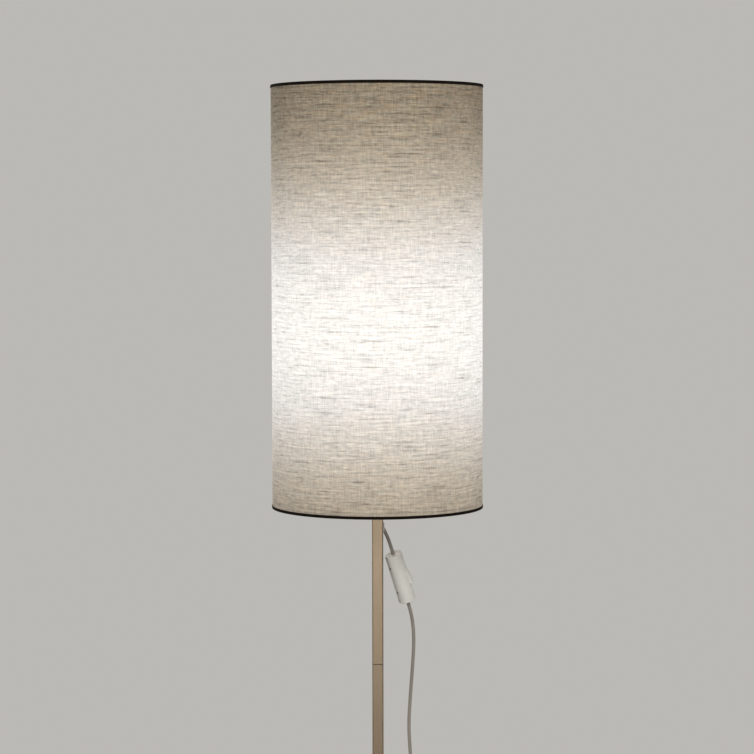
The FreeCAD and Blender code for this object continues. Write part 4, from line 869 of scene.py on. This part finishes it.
class LAMP_OT_bulb(bpy.types.Operator):
    """Blows the bulb's globe and rolls its threaded cap

    The globe is an arc of a circle down to where the straight line from its neck touches it.
    """

    bl_idname = "lamp.bulb"
    bl_label = "Bulb"

    def execute(self, context):
        radius, neck, wall = GLOBE_HIGH.x, 0.0210, 0.0008
        foot = GLOBE_LOW.z
        below = BULB_MIDDLE - foot
        lean = atan2(below, neck) - atan2(sqrt(neck ** 2 + below ** 2 - radius ** 2), radius)
        t = np.linspace(-lean, pi / 2, 48)
        outside = np.stack([radius * np.cos(t), BULB_MIDDLE + radius * np.sin(t)], 1)
        outside = np.concatenate([[[neck, foot]], outside])
        inside = outside[::-1].copy()
        inside[:, 0] -= wall * (inside[:, 0] > wall)
        inside[0, 1] -= wall
        globe = turned("frosted_globe", np.concatenate([outside, inside]), turns=128)
        dressed(globe, "bulb", "bulb_glass", "bulb_globe")
        outer, slope, cap_wall = CAP_HIGH.x, 0.003, 0.0014
        low, high = CAP_LOW.z, CAP_HIGH.z
        inner = outer - cap_wall
        profile = outline([
            (outer - slope, low, 0), (outer, low + slope, 0.0008), (outer, high, 0), (inner, high, 0),
            (inner, low + slope + 0.0004, 0), (outer - slope, low + 0.0004, 0)])
        profile = add_steps(profile, low + 0.004, high, 0.0003)
        thread = thread_relief(CAP_THREAD_DEPTH, CAP_THREAD_PITCH, low + slope, high - 0.001)
        cap = turned("threaded_cap", profile, turns=128, relief=thread)
        dressed(cap, "bulb", "bulb_cap_metal", "bulb_screw_cap")
        return {"FINISHED"}


class LAMP_OT_base(bpy.types.Operator):
    """Lays the felt ring under the base

    Its outer edge is frayed inwards by depth (1 + sin(53 a + 900 z) sin(31 a)).
    """

    bl_idname = "lamp.base"
    bl_label = "Base"

    def execute(self, context):
        width, edge, fray = 0.024, 0.0002, 0.00015
        outer, inner = FELT_HIGH.x, FELT_HIGH.x - width
        section = outline([(inner, FELT_LOW.z, edge), (outer, FELT_LOW.z, edge), (outer, FELT_HIGH.z, edge),
                           (inner, FELT_HIGH.z, edge)])

        def relief(angle, radius, height):
            waves = np.sin(53 * angle + 900 * height) * np.sin(31 * angle)
            return -fray * (1 + waves) * (radius > inner + 0.01)

        felt = turned("felt_ring", section, turns=512, relief=relief)
        dressed(felt, "lamp", "felt", "base_felt_ring")
        return {"FINISHED"}


class LAMP_OT_welds(bpy.types.Operator):
    """Sets a weld bead at both ends of each of the shade's arms"""

    bl_idname = "lamp.welds"
    bl_label = "Welds"

    def execute(self, context):
        hub_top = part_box("shade_spider")[1].z
        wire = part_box("shade_bottom_wire")[1]
        hub_reach, hub_bead, wire_bead, arms = 0.0268, 0.0032, 0.0030, 3
        places = []
        for index in range(arms):
            angle = pi / 2 + tau * index / arms
            outward = (cos(angle), sin(angle))
            places.append((hub_reach, hub_top - 0.0005, outward, hub_bead))
            places.append((wire.x - 0.0018, wire.z + 0.0004, outward, wire_bead))
        for index, (reach, height, outward, size) in enumerate(places):
            centre = (outward[0] * reach, outward[1] * reach, height)
            bead = surface(f"weld_{index + 1}", weld_bead(centre, outward, size), wrap=(True, False))
            dressed(bead, "lamp", "white_enamel")
        return {"FINISHED"}


# Each light: the setting with its power, its place, what it is aimed at and its size
LIGHTS = (("key", (1.1, -3.5, 2.9), (0, 0, 0.9), 1.6), ("fill", (-3.0, -2.4, 1.5), (0, 0, 0.9), 2.2),
          ("back", (-1.2, 3.4, 2.8), (0, 0, 0.9), 1.8), ("low", (-0.2, -3.3, 0.6), (0, 0, 0.95), 0.8))


class LAMP_OT_stage(bpy.types.Operator):
    """Sets the pale floor, the soft light and the camera"""

    bl_idname = "lamp.stage"
    bl_label = "Stage"

    def execute(self, context):
        settings = context.scene.lamp_stage
        context.scene.view_settings.view_transform = "Standard"
        make_world(settings)
        floor = make_floor(settings)
        for name, place, aim, size in LIGHTS:
            add_light(name + "_light", place, aim, size, getattr(settings, name))
        add_camera(settings)
        return {"FINISHED"}


def make_world(settings):
    """Even light for the object, and the pale background for the camera, for gloss and for glass."""
    world = bpy.data.worlds.new("Studio")
    bpy.context.scene.world = world
    world.use_nodes = True
    nodes, links = world.node_tree.nodes, world.node_tree.links
    output = nodes["World Output"]
    light = nodes["Background"]
    light.inputs["Color"].default_value = (1.0, 1.0, 1.0, 1.0)
    light.inputs["Strength"].default_value = settings.surround
    seen = nodes.new("ShaderNodeBackground")
    seen.inputs["Color"].default_value = (*settings.backdrop, 1.0)
    rays = nodes.new("ShaderNodeLightPath")
    looking = rays.outputs["Is Camera Ray"]
    for kind in ("Is Glossy Ray", "Is Transmission Ray"):
        either = nodes.new("ShaderNodeMath")
        either.operation = "MAXIMUM"
        links.new(looking, either.inputs[0])
        links.new(rays.outputs[kind], either.inputs[1])
        looking = either.outputs[0]
    mix = nodes.new("ShaderNodeMixShader")
    links.new(looking, mix.inputs[0])
    links.new(light.outputs[0], mix.inputs[1])
    links.new(seen.outputs[0], mix.inputs[2])
    links.new(mix.outputs[0], output.inputs["Surface"])


def make_floor(settings, reach=14.0):
    """Flat disc that fades, away from the lamp, into the same pale tone as the background."""
    fade_start, fade_end = 0.7, 2.6
    angle = np.linspace(0, tau, 96, endpoint=False)[:, None]
    radius = np.array([0.0, 0.5, 1.5, 4.0, reach])[None, :]
    points = np.stack([radius * np.cos(angle), radius * np.sin(angle), np.zeros_like(radius * angle)], -1)
    floor = surface("floor", points, wrap=(True, False))
    finish = Finish("floor", settings.backdrop, 0.85)
    fine = finish.noise(finish.place((18, 18, 18)), detail=4)
    pale, paler = tinted(settings.backdrop, 1.12), tinted(settings.backdrop, 1.2)
    finish.set("Base Color", finish.mixed(fine, pale, paler))
    coordinates = finish.add("TexCoord", {})
    away = finish.add("VectorMath", {0: coordinates.outputs["Object"]}, operation="LENGTH").outputs["Value"]
    fade = finish.spread(away, fade_start, fade_end, 0, 1)
    rays = finish.add("LightPath", {})
    seen = finish.maths("MAXIMUM", rays.outputs["Is Camera Ray"], rays.outputs["Is Glossy Ray"])
    tone = finish.add("Emission", {"Color": (*settings.backdrop, 1.0), "Strength": 1.0})
    mix = finish.add("MixShader", {0: finish.maths("MULTIPLY", fade, seen), 1: finish.shader.outputs[0],
                                   2: tone.outputs[0]})
    finish.fill(finish.nodes["Material Output"].inputs["Surface"], mix.outputs[0])
    floor.data.materials.append(finish.material)
    return floor


def add_light(name, place, aim, size, power):
    """Round area light at a place, turned towards its aim."""
    light = bpy.data.lights.new(name, "AREA")
    light.shape = "DISK"
    light.size = size
    light.energy = power
    lamp = bpy.data.objects.new(name, light)
    lamp.location = place
    lamp.rotation_euler = (Vector(aim) - Vector(place)).to_track_quat("-Z", "Y").to_euler()
    bpy.context.scene.collection.objects.link(lamp)


SENSOR_WIDTH = 36.0


def add_camera(settings):
    """Camera that looks along +Y and a little down, fitted to the photograph's square frame."""
    data = bpy.data.cameras.new("camera")
    data.sensor_width = SENSOR_WIDTH
    data.lens = settings.lens
    camera = bpy.data.objects.new("camera", data)
    forward = Vector((0, cos(settings.pitch), -sin(settings.pitch)))
    level = Vector((1, 0, 0))
    upright = level.cross(forward)
    right = level * cos(settings.roll) + upright * sin(settings.roll)
    up = upright * cos(settings.roll) - level * sin(settings.roll)
    turn = Matrix((right, up, -forward)).transposed().to_4x4()
    camera.matrix_world = Matrix.Translation((settings.aside, -settings.distance, settings.height)) @ turn
    bpy.context.scene.collection.objects.link(camera)
    bpy.context.scene.camera = camera


OPERATORS = (LAMP_OT_stage, LAMP_OT_finishes, LAMP_OT_cords, LAMP_OT_shade, LAMP_OT_holder, LAMP_OT_bulb,
             LAMP_OT_base, LAMP_OT_welds)
GROUPS = {"lamp_finish": LampFinishSettings, "lamp_shade": LampShadeSettings, "lamp_cord": LampCordSettings,
          "lamp_stage": LampStageSettings}


class LAMP_PT_panel(bpy.types.Panel):
    """The lamp's pieces and their settings"""

    bl_label = "Column floor lamp"
    bl_idname = "LAMP_PT_panel"
    bl_space_type = "VIEW_3D"
    bl_region_type = "UI"
    bl_category = "Lamp"

    def draw(self, context):
        for operator in OPERATORS:
            self.layout.operator(operator.bl_idname)
        for name, group in GROUPS.items():
            box = self.layout.box()
            settings = getattr(context.scene, name)
            for setting in group.__annotations__:
                box.prop(settings, setting)


def register():
    for group in GROUPS.values():
        bpy.utils.register_class(group)
    for name, group in GROUPS.items():
        setattr(bpy.types.Scene, name, PointerProperty(type=group))
    for kind in (*OPERATORS, LAMP_PT_panel):
        bpy.utils.register_class(kind)


def unregister():
    for kind in reversed((*OPERATORS, LAMP_PT_panel)):
        bpy.utils.unregister_class(kind)
    for name in GROUPS:
        delattr(bpy.types.Scene, name)
    for group in GROUPS.values():
        bpy.utils.unregister_class(group)


def main():
    register()
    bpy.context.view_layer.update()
    bpy.ops.lamp.stage()
    bpy.ops.lamp.finishes()
    bpy.ops.lamp.cords()
    bpy.ops.lamp.shade()
    bpy.ops.lamp.holder()
    bpy.ops.lamp.bulb()
    bpy.ops.lamp.base()
    bpy.ops.lamp.welds()


if __name__ == "__main__":
    main()
